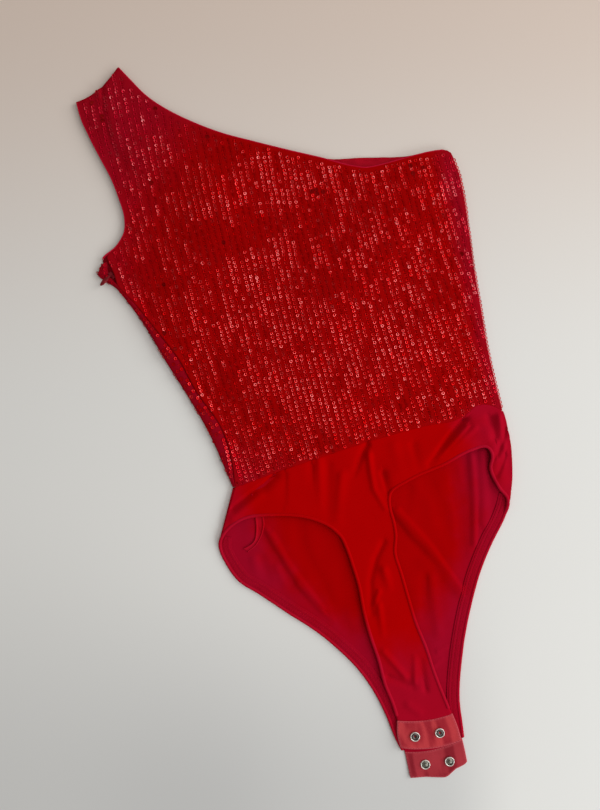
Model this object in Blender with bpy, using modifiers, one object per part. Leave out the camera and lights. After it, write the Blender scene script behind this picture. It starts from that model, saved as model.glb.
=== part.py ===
"""One-shoulder bodysuit laid flat: sequined bodice, jersey brief, snap crotch and a zip at the side.

The garment lies on its back on z = 0. Its centre line runs along +Y, with the shoulder at +Y and the
crotch at -Y, and +X points to the right of someone who looks down on it. Every cut piece is one closed
wall of cloth: an open surface through a table of sections, given its thickness by Solidify. The front
panels lie just above the back panels. Along the right side and the left hip the front folds down round
the side, and along the left side of the bodice the back folds up and over, as far as the zip.

All tables and sizes are in millimetres. MM turns them into metres when a mesh is made.
"""
import math
from collections import namedtuple

import bmesh
import bpy
import numpy as np
from mathutils import Matrix, Vector
from mathutils.bvhtree import BVHTree

MM = 0.001
COLLECTION = "bodysuit"

# Cloth
CLOTH = 1.2                # wall of the bodice and brief panels
TRIM = 1.0                 # wall of hems, facing, seam allowance and zip tape
SNAP_TAPE = 2.0            # the folded crotch tapes
GAP = 0.3                  # clearance at every seam and between layers
BACK_LEVEL = CLOTH / 2     # middle of the back panels' wall, which rest on z = 0
FRONT_LEVEL = 5.0          # middle of the front panels' wall
SIDE_TURN = 1.8            # how far a side fold reaches in from the outline
FOLD_FOOT = 0.15           # middle of the wall where a front fold ends, just above z = 0
TURN_STEPS = 4             # faces round a quarter turn
HEM_WIDTH = 9.0
HEM_GAP = 0.5              # from a hem to the front panel above it
SEAM_INSET = CLOTH + GAP   # how far a covered edge stays inside a fold

# Grids
SECTION_SPACING = 34.0     # longest step between two sections
FOOT_SPACING = 24.0        # and between two columns of the brief, along the leg edge
BACK_BODICE_COLUMNS = 10
BRIEF_ROWS = 6
STRIP_COLUMNS = 6
BACK_BRIEF_COLUMNS = 16

# The bodice from the shoulder down to the waist. side: the armhole edge, then the left fold; seam_x:
# the front's own left edge; slit: how far the back's turned margin stands off it, open at the slider;
# front and back: each panel's neckline, then the right fold.
BodiceSection = namedtuple("BodiceSection", "side_x side_y seam_x slit front_x front_y back_x back_y")
BODICE = [
    BodiceSection(-157.0, 366.0, -157.0, 0.3, -107.0, 387.0, -107.0, 387.0),
    BodiceSection(-157.5, 350.0, -157.5, 0.3, -99.5, 372.0, -98.0, 369.5),
    BodiceSection(-155.0, 330.0, -155.0, 0.3, -87.0, 349.0, -84.0, 345.0),
    BodiceSection(-150.5, 305.0, -150.5, 0.3, -62.0, 321.5, -58.0, 316.0),
    BodiceSection(-146.0, 282.0, -146.0, 0.3, -28.0, 294.0, -25.0, 288.0),
    BodiceSection(-144.5, 262.0, -144.5, 0.3, 2.0, 275.5, 5.0, 269.5),
    BodiceSection(-145.0, 240.0, -145.0, 0.3, 32.0, 257.5, 35.0, 253.0),
    BodiceSection(-149.0, 228.0, -149.0, 0.3, 60.0, 242.0, 66.0, 239.0),
    BodiceSection(-160.0, 217.0, -160.0, 0.3, 82.0, 227.0, 100.0, 230.0),
    BodiceSection(-179.0, 207.0, -173.0, 0.3, 103.0, 215.3, 140.0, 219.0),
    BodiceSection(-182.0, 201.0, -172.5, 2.5, 130.0, 214.3, 158.0, 215.2),
    BodiceSection(-187.0, 195.0, -171.5, 5.0, 165.0, 214.5, 172.0, 214.7),
    BodiceSection(-183.0, 188.0, -171.0, 4.5, 183.3, 211.0, 183.3, 211.0),
    BodiceSection(-175.0, 179.0, -171.0, 0.3, 187.0, 195.0, 187.0, 195.0),
    BodiceSection(-165.0, 156.5, -160.0, 0.3, 186.3, 168.0, 186.3, 168.0),
    BodiceSection(-155.0, 126.0, -147.4, 0.3, 180.5, 128.0, 180.5, 128.0),
    BodiceSection(-147.0, 92.0, -134.4, 0.3, 174.0, 88.0, 174.0, 88.0),
    BodiceSection(-137.0, 55.0, -126.7, 0.3, 169.0, 50.0, 169.0, 50.0),
    BodiceSection(-126.5, 10.0, -113.0, 0.3, 163.5, 5.0, 163.5, 5.0),
    BodiceSection(-122.5, -22.0, -113.0, 0.3, 161.0, -30.0, 161.0, -30.0),
    BodiceSection(-120.0, -47.7, -117.5, 0.3, 160.0, -54.5, 160.0, -54.5),
]
SHOULDER_BOW = -5.0        # how far the shoulder seam dips below its chord
LEFT_FOLD_FIRST = 9        # section at which the left fold starts
RIGHT_FOLD_FIRST = 12      # section at which the right fold starts
WAIST_BLEND = 3            # sections over which the front's rows take the waist seam's shape

# The front's waist seam.
WaistPoint = namedtuple("WaistPoint", "x y")
WAIST = [
    WaistPoint(-120.0, -48.4),
    WaistPoint(-60.0, -45.5),
    WaistPoint(15.0, -43.5),
    WaistPoint(80.0, -45.0),
    WaistPoint(118.0, -48.0),
    WaistPoint(139.0, -40.8),
    WaistPoint(151.0, -45.5),
    WaistPoint(160.0, -54.5),
]

# The front brief above the crotch strip, from the left side to the right: each section runs from the
# waist seam down to its foot on a leg edge; swing bends it sideways at half length.
BriefSection = namedtuple("BriefSection", "waist_x foot_x foot_y swing")
LEFT_BRIEF = [
    BriefSection(-120.0, -143.6, -87.5, 0.0),
    BriefSection(-97.0, -123.0, -82.0, 0.0),
    BriefSection(-72.0, -88.0, -87.0, 0.0),
    BriefSection(-47.0, -52.0, -102.5, 0.0),
    BriefSection(-38.0, -38.5, -114.5, 0.0),
    BriefSection(-31.0, -31.0, -127.0, 0.0),
]
RIGHT_BRIEF = [
    BriefSection(25.0, 24.5, -127.0, 0.0),
    BriefSection(31.0, 25.0, -111.0, 0.0),
    BriefSection(38.0, 29.0, -99.5, 0.0),
    BriefSection(52.0, 48.0, -93.0, 0.0),
    BriefSection(88.0, 89.0, -87.5, 0.0),
    BriefSection(117.0, 118.0, -82.0, 0.0),
    BriefSection(135.0, 134.0, -83.5, 0.0),
    BriefSection(146.0, 135.5, -93.0, 4.0),
    BriefSection(152.0, 130.5, -103.0, 7.0),
    BriefSection(156.0, 131.5, -119.0, 8.0),
    BriefSection(160.0, 140.4, -137.5, 5.0),
]

# Sections that run from a left edge to a right edge.
Section = namedtuple("Section", "left_x left_y right_x right_y")
CROTCH_STRIP = [
    Section(-31.0, -127.0, 24.5, -127.0),
    Section(-29.5, -141.0, 22.5, -141.0),
    Section(-29.0, -158.0, 16.5, -157.0),
    Section(-29.0, -178.0, 16.5, -178.0),
    Section(-32.0, -205.0, 16.0, -206.0),
    Section(-32.8, -230.0, 16.0, -230.0),
    Section(-32.0, -256.0, 18.5, -257.0),
    Section(-33.0, -280.0, 19.0, -282.0),
    Section(-31.0, -301.0, 20.6, -304.0),
    Section(-31.0, -318.3, 22.8, -327.3),
]
STRIP_END_BOW = -3.0

FRONT_TAPE = [
    Section(-31.0, -318.6, 22.9, -327.6),
    Section(-34.6, -331.0, 24.0, -340.0),
    Section(-35.5, -344.5, 23.8, -354.8),
]
FRONT_TAPE_BOWS = (-3.0, -3.2, -4.5)

# The back brief. covered: 1 where the front folds down round that edge.
CoveredSection = namedtuple("CoveredSection", "left_x left_y right_x right_y left_covered right_covered")
BACK_BRIEF = [
    CoveredSection(-120.0, -48.0, 160.0, -54.8, 1, 1),
    CoveredSection(-131.2, -68.0, 158.5, -76.0, 1, 1),
    CoveredSection(-142.0, -85.5, 152.5, -105.0, 1, 1),
    CoveredSection(-148.9, -101.0, 146.3, -123.0, 0, 1),
    CoveredSection(-147.0, -119.0, 140.4, -139.0, 0, 1),
    CoveredSection(-140.5, -138.0, 129.0, -155.5, 0, 0),
    CoveredSection(-125.0, -156.0, 111.3, -174.0, 0, 0),
    CoveredSection(-102.0, -184.0, 90.0, -200.0, 0, 0),
    CoveredSection(-80.0, -210.0, 74.0, -225.0, 0, 0),
    CoveredSection(-64.7, -233.0, 60.0, -250.0, 0, 0),
    CoveredSection(-51.4, -258.0, 48.0, -275.0, 0, 0),
    CoveredSection(-43.0, -283.0, 38.5, -298.0, 0, 0),
    CoveredSection(-38.0, -310.0, 31.7, -319.0, 0, 0),
    CoveredSection(-36.0, -334.0, 28.0, -341.0, 0, 0),
    CoveredSection(-33.0, -352.0, 25.3, -356.5, 0, 0),
]
BACK_STRIP_BOW = -4.0

BACK_TAPE = [
    Section(-32.6, -352.3, 25.3, -356.8),
    Section(-33.6, -364.0, 24.6, -367.0),
    Section(-34.8, -378.0, 23.4, -379.5),
]
BACK_TAPE_BOWS = (-4.0, -5.0, -8.2)

# The back neck facing, along the back's right neckline, and the pressed allowance of the left side seam.
FACING = [
    Section(36.0, 226.0, 40.0, 250.0),
    Section(60.0, 212.0, 66.3, 238.6),
    Section(95.0, 203.0, 100.2, 229.6),
    Section(136.0, 192.0, 140.2, 218.6),
    Section(176.0, 192.0, 172.0, 214.3),
]
SEAM_ALLOWANCE = [
    Section(-105.0, -60.0, -95.0, -60.0),
    Section(-108.6, -82.0, -98.3, -84.0),
    Section(-113.0, -90.0, -103.0, -95.0),
    Section(-120.0, -100.0, -109.5, -104.5),
    Section(-128.5, -109.5, -121.5, -115.0),
]

# The largest folds of each layer: a soft ridge, or a trough where height is below 0, along a line.
FOLD_FADE = 1.6            # half widths over which a fold dies out past its ends
Fold = namedtuple("Fold", "x0 y0 x1 y1 half_width height")
FRONT_FOLDS = [
    Fold(-120.0, 330.0, -60.0, 250.0, 22.0, 1.6),     # strap into the chest
    Fold(-40.0, 240.0, -130.0, 120.0, 30.0, 2.2),     # chest, slanting to the zip
    Fold(140.0, 180.0, 20.0, 90.0, 34.0, 2.4),        # from the right underarm
    Fold(150.0, 60.0, 20.0, 10.0, 26.0, 1.6),         # right side of the waist
    Fold(-90.0, 60.0, 0.0, -20.0, 24.0, 1.4),         # left side of the waist
    Fold(40.0, -80.0, 128.0, -72.0, 17.0, 3.8),       # raised edge of the right leg
    Fold(142.0, -72.0, 138.0, -118.0, 8.0, 3.0),      # its turn at the hip
    Fold(117.0, -50.0, 74.0, -78.0, 6.0, -1.5),       # drag line from the right waist
    Fold(-84.0, -54.0, -124.0, -68.0, 4.5, -1.2),     # crease at the left hip
    Fold(20.0, -44.0, 14.0, -66.0, 5.0, -0.9),        # below the waist seam
    Fold(-16.0, -200.0, -8.0, -290.0, 7.0, 1.2),      # along the crotch strip
]
BACK_FOLDS = [
    Fold(122.0, -62.0, 112.0, -138.0, 8.0, 1.8),      # pleats of the right seat
    Fold(96.0, -70.0, 92.0, -140.0, 7.0, 1.2),
    Fold(34.0, -140.0, 52.0, -196.0, 9.0, 1.5),       # drag lines towards the crotch
    Fold(-98.0, -122.0, -44.0, -212.0, 9.0, 1.7),
    Fold(-70.0, -95.0, -74.0, -130.0, 9.0, 1.0),
]

# Snaps
SnapPlace = namedtuple("SnapPlace", "side socket_x socket_y stud_x stud_y")
SNAPS = [
    SnapPlace("left", -18.9, -337.6, -17.1, -369.4),
    SnapPlace("right", 5.7, -341.2, 7.0, -373.6),
]
SNAP_RADIUS = 4.9
SNAP_RIM_HEIGHT = 1.1
SNAP_RIM_WIDTH = 1.1
SNAP_FLOOR = 0.5
SOCKET_RING_RADIUS = 3.0
SOCKET_HOLE_RADIUS = 1.5
STUD_KNOB_RADIUS = 1.9
STUD_KNOB_HEIGHT = 2.2
SNAP_SEGMENTS = 20

# Zip
ZIP_TAPE_TOP = 184.0
ZIP_TAPE_END = -30.0
ZIP_TAPE_INNER = 4.5       # reach of the zip tape to the right and to the left of the seam
ZIP_TAPE_OUTER = 1.4
SLIDER_X, SLIDER_Y = -173.9, 190.2
SLIDER_TURN = math.radians(209.6)     # direction in which the pull lies, from +X
SLIDER_LENGTH = 7.0
SLIDER_WIDTH = 4.4
SLIDER_BASE = 1.6
SLIDER_TOP = 3.7
SLIDER_PIN_HEIGHT = 6.8
SLIDER_PIN_RADIUS = 0.5
SLIDER_EAR_THICKNESS = 0.8
SLIDER_EAR_LENGTH = 2.2
PULL_LENGTH = 15.0         # from the pin to the tip
PULL_THICKNESS = 1.0
PULL_BARREL_RADIUS = 1.45
PULL_BORE_RADIUS = 0.85
PULL_BARREL_WIDTH = 2.2
PullSection = namedtuple("PullSection", "reach half_width")
PULL = [
    PullSection(0.9, 1.0),
    PullSection(3.0, 1.1),
    PullSection(6.0, 1.7),
    PullSection(9.5, 2.1),
    PullSection(12.5, 1.8),
    PullSection(14.2, 1.1),
    PullSection(PULL_LENGTH, 0.4),
]

# Material: colour, roughness, metallic
Finish = namedtuple("Finish", "color roughness metallic")
FINISHES = {
    "sequin_cloth": Finish((0.30, 0.004, 0.008), 0.35, 0.0),
    "jersey": Finish((0.36, 0.001, 0.004), 0.75, 0.0),
    "lining": Finish((0.26, 0.004, 0.012), 0.7, 0.0),
    "twill_tape": Finish((0.45, 0.045, 0.05), 0.6, 0.0),
    "zip_tape": Finish((0.12, 0.002, 0.008), 0.8, 0.0),
    "snap_metal": Finish((0.78, 0.77, 0.74), 0.25, 1.0),
    "painted_metal": Finish((0.16, 0.01, 0.02), 0.35, 0.6),
}


# ---------------------------------------------------------------- curves and grids

def smooth(table, spacing=SECTION_SPACING):
    """Return the table's rows with more rows between them, on cubics through the given ones.

    The second value holds, for each given row, its place among the new ones.
    """
    rows = np.array(table, float)
    chord = np.linalg.norm(np.diff(rows[:, :2], axis=0), axis=1)
    knots = np.concatenate([[0.0], np.cumsum(np.maximum(chord, 1.0))])
    slopes = np.gradient(rows, knots, axis=0)
    result = [rows[0]]
    places = [0]
    for index, length in enumerate(np.diff(knots)):
        steps = max(1, math.ceil(length / spacing))
        for step in range(1, steps + 1):
            t = step / steps
            value = ((2 * t**3 - 3 * t**2 + 1) * rows[index] + (3 * t**2 - 2 * t**3) * rows[index + 1]
                     + length * (t**3 - 2 * t**2 + t) * slopes[index]
                     + length * (t**3 - t**2) * slopes[index + 1])
            result.append(value)
        places.append(len(result) - 1)
    return np.array(result), places


def across(left, right, shares, bows):
    """Return a grid of plan points between two edges at the given shares, each row bowed along Y."""
    share = np.asarray(shares, float)[None, :, None]
    grid = left[:, None, :] * (1.0 - share) + right[:, None, :] * share
    grid[:, :, 1] += np.asarray(bows, float)[:, None] * (4.0 * share * (1.0 - share))[:, :, 0]
    return grid


def even(columns):
    """Return the shares of evenly spaced columns."""
    return np.linspace(0.0, 1.0, columns + 1)


def outward(edge, side):
    """Return unit vectors square to an edge that runs down the garment, away from its panel."""
    run = np.gradient(edge, axis=0)
    normal = np.stack([run[:, 1], -run[:, 0]], axis=1) * side
    return normal / np.linalg.norm(normal, axis=1, keepdims=True)


def waist_y(x):
    """Return the height along Y of the front's waist seam at x."""
    table = np.array(WAIST)
    xs = np.asarray(x, float)
    smoothed, _ = smooth(table, 4.0)
    return np.interp(xs, smoothed[:, 0], smoothed[:, 1])


def fold_height(x, y, folds):
    """Return what the folds add at plan points: a bell across each line, faded at its ends."""
    total = np.zeros(np.shape(x))
    for fold in folds:
        start = np.array([fold.x0, fold.y0])
        run = np.array([fold.x1, fold.y1]) - start
        length = np.hypot(*run)
        along = ((x - start[0]) * run[0] + (y - start[1]) * run[1]) / length
        off = ((y - start[1]) * run[0] - (x - start[0]) * run[1]) / length
        beyond = np.maximum(0.0, np.maximum(-along, along - length))
        across_bell = (off / fold.half_width) ** 2
        end_fade = (beyond / (FOLD_FADE * fold.half_width)) ** 2
        total += fold.height * np.exp(-across_bell - end_fade)
    return total


def raised(grid, level, folds):
    """Return plan points lifted to a layer's level and folds."""
    height = level + fold_height(grid[..., 0], grid[..., 1], folds)
    return np.concatenate([grid, height[..., None]], axis=-1)


def laid_on(plan, panels, step):
    """Return plan points at the height of the panels under or over them, moved up by step (down if < 0)."""
    points = []
    faces = []
    for panel in panels:
        rows, columns = panel.shape[:2]
        corner = np.arange(rows * columns).reshape(rows, columns) + len(points)
        quads = [corner[:-1, :-1], corner[1:, :-1], corner[1:, 1:], corner[:-1, 1:]]
        faces.extend(np.stack(quads, axis=-1).reshape(-1, 4).tolist())
        points.extend(map(tuple, panel.reshape(-1, 3)))
    tree = BVHTree.FromPolygons(points, faces, epsilon=0.01)
    height = np.zeros(plan.shape[:2])
    for index in np.ndindex(height.shape):
        x, y = plan[index]
        hit = tree.ray_cast(Vector((x, y, 50.0)), Vector((0.0, 0.0, -1.0)))[0]
        if hit is None:
            hit = tree.find_nearest(Vector((x, y, panels[0][..., 2].mean())))[0]
        height[index] = hit.z
    return np.concatenate([plan, (height + step)[..., None]], axis=-1)


def turned_down(edge, outwards, lowest):
    """Return the quarter turn that carries an edge outward and down to the given height."""
    angles = np.linspace(0.0, math.pi / 2, TURN_STEPS + 1)
    columns = []
    for angle in angles:
        point = edge.copy()
        point[:, :2] += outwards * SIDE_TURN * math.sin(angle)
        point[:, 2] -= (edge[:, 2] - lowest) * (1.0 - math.cos(angle))
        columns.append(point)
    return np.stack(columns, axis=1)


# ---------------------------------------------------------------- objects

def finish_material(name):
    """Return the named material, made once."""
    material = bpy.data.materials.get(name)
    if material is None:
        material = bpy.data.materials.new(name)
        material.use_nodes = True
        shader = material.node_tree.nodes["Principled BSDF"]
        finish = FINISHES[name]
        shader.inputs["Base Color"].default_value = (*finish.color, 1.0)
        shader.inputs["Roughness"].default_value = finish.roughness
        shader.inputs["Metallic"].default_value = finish.metallic
    return material


def add_object(name, mesh, material, collection):
    """Return a new object of the mesh in the collection, with its material."""
    thing = bpy.data.objects.new(name, mesh)
    collection.objects.link(thing)
    mesh.materials.append(finish_material(material))
    return thing


def grid_mesh(name, grids):
    """Return a mesh of grids of points in millimetres, joined where their edges meet."""
    work = bmesh.new()
    for grid in grids:
        rows, columns = grid.shape[:2]
        verts = [[work.verts.new(Vector(point) * MM) for point in row] for row in grid]
        for i in range(rows - 1):
            for j in range(columns - 1):
                work.faces.new((verts[i][j], verts[i + 1][j], verts[i + 1][j + 1], verts[i][j + 1]))
    bmesh.ops.remove_doubles(work, verts=work.verts, dist=0.00001)
    bmesh.ops.recalc_face_normals(work, faces=work.faces)
    mesh = bpy.data.meshes.new(name)
    work.to_mesh(mesh)
    work.free()
    return mesh


def add_cloth(name, grids, wall, material, collection):
    """Add a piece of cloth: an open surface with the given wall around it."""
    thing = add_object(name, grid_mesh(name, grids), material, collection)
    thing.data.shade_smooth()
    solidify = thing.modifiers.new("wall", "SOLIDIFY")
    solidify.thickness = wall * MM
    solidify.offset = 0.0
    solidify.use_even_offset = False
    return thing


# ---------------------------------------------------------------- bodice

class Bodice:
    """The grids of the front and the back, which share the armhole, the folds and the zip seam."""

    def __init__(self):
        rows, places = smooth(BODICE)
        self.side = rows[:, 0:2]
        self.seam_x = rows[:, 2]
        self.slit = np.maximum(rows[:, 3], GAP)
        self.front_edge = rows[:, 4:6]
        self.back_edge = rows[:, 6:8]
        self.left_first = places[LEFT_FOLD_FIRST]
        self.right_first = places[RIGHT_FOLD_FIRST]
        self.blend_first = places[-1 - WAIST_BLEND]
        self.count = len(rows)
        self.left_outward = outward(self.side, 1.0)
        self.right_outward = outward(self.front_edge, -1.0)

    def bows(self):
        """Return each row's bow: the shoulder's dip, which dies out down the strap."""
        return SHOULDER_BOW * np.exp(-np.arange(self.count) / 1.2)

    def front(self):
        """Return the front's grids: its panel and the turn down its right side."""
        left = np.stack([self.seam_x, self.side[:, 1]], axis=1)
        right = self.front_edge.copy()
        right[self.right_first:] -= self.right_outward[self.right_first:] * SIDE_TURN
        waist_x = brief_columns()[:, 2]
        shares = (waist_x - waist_x[0]) / (waist_x[-1] - waist_x[0])
        plan = across(left, right, shares, self.bows())
        below = np.arange(self.count) - self.blend_first
        weight = np.clip(below / below[-1], 0, 1)
        seam_x = np.concatenate([left[-1:, 0], waist_x[1:-1], right[-1:, 0]])
        seam = np.stack([seam_x, waist_y(seam_x) + GAP / 2], axis=1)
        plan += (weight ** 2)[:, None, None] * (seam - plan[-1])[None]
        panel = raised(plan, FRONT_LEVEL, FRONT_FOLDS)
        outwards = self.right_outward[self.right_first:]
        side_turn = turned_down(panel[self.right_first:, -1], outwards, FOLD_FOOT)
        return [panel, side_turn]

    def back(self):
        """Return the back's grids: its panel and the margin that folds up and over to the zip."""
        left = self.side.copy()
        left[self.left_first:] -= self.left_outward[self.left_first:] * SIDE_TURN
        right = self.back_edge.copy()
        right[self.right_first:] -= self.right_outward[self.right_first:] * SEAM_INSET
        plan = across(left, right, even(BACK_BODICE_COLUMNS), self.bows())
        panel = raised(plan, BACK_LEVEL, [])
        edge = panel[self.left_first:, 0]
        outwards = self.left_outward[self.left_first:]
        seam_x = (self.seam_x - self.slit)[self.left_first:]
        seam_y = self.side[self.left_first:, 1]
        rise = FRONT_LEVEL + fold_height(seam_x, seam_y, FRONT_FOLDS) - BACK_LEVEL
        margin = []
        for angle in np.linspace(0.0, math.pi, 2 * TURN_STEPS + 1):
            point = edge.copy()
            point[:, :2] += outwards * SIDE_TURN * math.sin(angle)
            point[:, 2] += rise * (1.0 - math.cos(angle)) / 2
            margin.append(point)
        top = margin[-1]
        seam = np.stack([seam_x, seam_y, top[:, 2]], axis=1)
        margin.extend((top * (1.0 - share) + seam * share) for share in (0.5, 1.0))
        return [panel, np.stack(margin, axis=1)]


# ---------------------------------------------------------------- brief

def brief_columns():
    """Return the front brief's columns: foot x and y, waist x and swing, from the left to the right."""
    left, right = brief_sides()
    share = even(STRIP_COLUMNS)[1:-1, None]
    return np.concatenate([left, left[-1] * (1.0 - share) + right[0] * share, right])


def brief_sides():
    """Return the columns beside the crotch strip, on its left and on its right."""
    sides = []
    for table in (LEFT_BRIEF, RIGHT_BRIEF):
        rows = [(section.foot_x, section.foot_y, section.waist_x, section.swing) for section in table]
        sides.append(smooth(rows, FOOT_SPACING)[0])
    return sides


def front_brief():
    """Return the front brief's grids and its two leg edges, each from the hip to the crotch tape."""
    columns = brief_columns()
    feet = columns[:, 0:2]
    waist = np.stack([columns[:, 2], waist_y(columns[:, 2]) - GAP / 2], axis=1)
    plan = across(waist, feet, even(BRIEF_ROWS), np.zeros(len(columns)))
    down = np.linspace(0.0, 1.0, BRIEF_ROWS + 1)
    plan[:, :, 0] += columns[:, 3:4] * (4.0 * down * (1.0 - down))[None, :]
    plan = plan.transpose(1, 0, 2)
    left_out = outward(plan[:, 0], 1.0)
    right_out = outward(plan[:, -1], -1.0)
    plan[:, 0] -= left_out * SIDE_TURN
    plan[:, -1] -= right_out * SIDE_TURN
    yoke = raised(plan, FRONT_LEVEL, FRONT_FOLDS)

    rows, _ = smooth(CROTCH_STRIP)
    bows = STRIP_END_BOW * np.clip(np.arange(len(rows)) - (len(rows) - 3), 0, 2) / 2
    strip = raised(across(rows[:, 0:2], rows[:, 2:4], even(STRIP_COLUMNS), bows), FRONT_LEVEL, FRONT_FOLDS)

    left_turn = turned_down(yoke[:, 0], left_out, FOLD_FOOT)
    right_turn = turned_down(yoke[:, -1], right_out, FOLD_FOOT)
    grids = [yoke, strip, left_turn, right_turn]
    left, right = brief_sides()
    left_leg = np.concatenate([left[:, 0:2], rows[1:, 0:2]])
    right_leg = np.concatenate([right[::-1, 0:2], rows[1:, 2:4]])
    return grids, left_leg, right_leg


def back_brief():
    """Return the back brief's grid and its two outer edges, from the waist to the crotch tape."""
    rows, _ = smooth(BACK_BRIEF)
    left, right = rows[:, 0:2], rows[:, 2:4]
    left_cover = np.round(rows[:, 4:5])
    right_cover = np.round(rows[:, 5:6])
    inner_left = left - outward(left, 1.0) * SEAM_INSET * left_cover
    inner_right = right - outward(right, -1.0) * SEAM_INSET * right_cover
    bows = BACK_STRIP_BOW * np.clip(np.arange(len(rows)) - (len(rows) - 4), 0, 3) / 3
    grid = raised(across(inner_left, inner_right, even(BACK_BRIEF_COLUMNS), bows), BACK_LEVEL, BACK_FOLDS)
    uncovered_left = left[left_cover[:, 0] < 0.5]
    uncovered_right = right[right_cover[:, 0] < 0.5]
    return grid, uncovered_left, uncovered_right


def hem_band(edge, side, trim_start, trim_end):
    """Return the plan of a band that follows a leg edge, just inside it."""
    inwards = -outward(edge, side)
    travelled = np.concatenate([[0.0], np.cumsum(np.linalg.norm(np.diff(edge, axis=0), axis=1))])
    keep = (travelled >= trim_start) & (travelled <= travelled[-1] - trim_end)
    edge, inwards = edge[keep], inwards[keep]
    columns = [edge + inwards * (GAP + HEM_WIDTH * share) for share in (0.0, 0.5, 1.0)]
    return np.stack(columns, axis=1)


# ---------------------------------------------------------------- hard pieces

def turned_piece(name, profile, place, material, collection):
    """Add a turned solid: a profile of (radius, height) points, top to bottom down its outer side."""
    mesh = bpy.data.meshes.new(name)
    closed = profile[0][0] > 0.0
    edges = [(i, i + 1) for i in range(len(profile) - 1)]
    if closed:
        edges.append((len(profile) - 1, 0))
    mesh.from_pydata([(radius * MM, 0.0, height * MM) for radius, height in profile], edges, [])
    thing = add_object(name, mesh, material, collection)
    thing.location = Vector(place) * MM
    screw = thing.modifiers.new("turn", "SCREW")
    screw.steps = SNAP_SEGMENTS
    screw.render_steps = SNAP_SEGMENTS
    screw.use_merge_vertices = True
    screw.merge_threshold = 0.00001
    screw.use_smooth_shade = True
    return thing


def socket_profile():
    """Return the socket's section: a raised rim, a sunk floor, a small ring and an open centre."""
    rim = SNAP_RADIUS - SNAP_RIM_WIDTH
    return [
        (rim + 0.3, SNAP_RIM_HEIGHT),
        (SNAP_RADIUS - 0.3, SNAP_RIM_HEIGHT),
        (SNAP_RADIUS, SNAP_RIM_HEIGHT - 0.4),
        (SNAP_RADIUS, 0.0),
        (SOCKET_HOLE_RADIUS, 0.0),
        (SOCKET_HOLE_RADIUS, SNAP_FLOOR + 0.5),
        (SOCKET_RING_RADIUS - 0.6, SNAP_FLOOR + 0.5),
        (SOCKET_RING_RADIUS, SNAP_FLOOR),
        (rim, SNAP_FLOOR),
    ]


def stud_profile():
    """Return the stud's section: a round-topped knob in a sunk floor with a raised rim."""
    rim = SNAP_RADIUS - SNAP_RIM_WIDTH
    neck = STUD_KNOB_RADIUS - 0.4
    return [
        (0.0, STUD_KNOB_HEIGHT),
        (STUD_KNOB_RADIUS - 0.7, STUD_KNOB_HEIGHT - 0.1),
        (STUD_KNOB_RADIUS, STUD_KNOB_HEIGHT - 0.6),
        (neck, SNAP_FLOOR + 0.4),
        (neck, SNAP_FLOOR),
        (rim, SNAP_FLOOR),
        (rim + 0.3, SNAP_RIM_HEIGHT),
        (SNAP_RADIUS - 0.3, SNAP_RIM_HEIGHT),
        (SNAP_RADIUS, SNAP_RIM_HEIGHT - 0.4),
        (SNAP_RADIUS, 0.0),
        (0.0, 0.0),
    ]


def box(name, size, centre, collection):
    """Return a box in millimetres, as a mesh object whose scale is applied."""
    bpy.ops.mesh.primitive_cube_add(size=1.0)
    thing = bpy.context.object
    thing.name = name
    scale = Matrix.Diagonal((*(side * MM for side in size), 1.0))
    thing.data.transform(Matrix.Translation(Vector(centre) * MM) @ scale)
    move_to(thing, collection)
    return thing


def cross_cylinder(name, radius, width, height, collection):
    """Return a cylinder along the local Y axis, centred over the origin at the given height."""
    bpy.ops.mesh.primitive_cylinder_add(vertices=20, radius=radius * MM, depth=width * MM)
    thing = bpy.context.object
    thing.name = name
    thing.data.transform(Matrix.Translation((0.0, 0.0, height * MM)) @ Matrix.Rotation(math.pi / 2, 4, "X"))
    move_to(thing, collection)
    return thing


def move_to(thing, collection):
    """Link an object to one collection only."""
    for owner in list(thing.users_collection):
        owner.objects.unlink(thing)
    collection.objects.link(thing)


def combine(base, tool, operation, cutters, place):
    """Add a Boolean with a hidden tool object, placed with its base."""
    tool.hide_render = True
    tool.display_type = "WIRE"
    tool.matrix_world = place
    move_to(tool, cutters)
    step = base.modifiers.new(tool.name, "BOOLEAN")
    step.operation = operation
    step.solver = "EXACT"
    step.object = tool


def add_slider(collection, cutters, place):
    """Add the zip slider: a rounded body with two ears and the pin between them."""
    body = box("zip_slider", (SLIDER_WIDTH, SLIDER_LENGTH, SLIDER_TOP - SLIDER_BASE),
               (0.0, 0.0, (SLIDER_TOP + SLIDER_BASE) / 2), collection)
    body.data.materials.append(finish_material("painted_metal"))
    body.matrix_world = place
    bevel = body.modifiers.new("round", "BEVEL")
    bevel.width = 0.6 * MM
    bevel.segments = 2
    ear_height = SLIDER_PIN_HEIGHT + 0.9 - SLIDER_TOP + 0.5
    ear_offset = PULL_BARREL_WIDTH / 2 + GAP + SLIDER_EAR_THICKNESS / 2
    ear_size = (SLIDER_EAR_LENGTH, SLIDER_EAR_THICKNESS, ear_height)
    for name, offset in (("ear_left", -ear_offset), ("ear_right", ear_offset)):
        ear = box(name, ear_size, (0.0, offset, SLIDER_TOP - 0.5 + ear_height / 2), cutters)
        combine(body, ear, "UNION", cutters, place)
    pin = cross_cylinder("pin", SLIDER_PIN_RADIUS, 2 * ear_offset, SLIDER_PIN_HEIGHT, cutters)
    combine(body, pin, "UNION", cutters, place)
    return body


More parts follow.
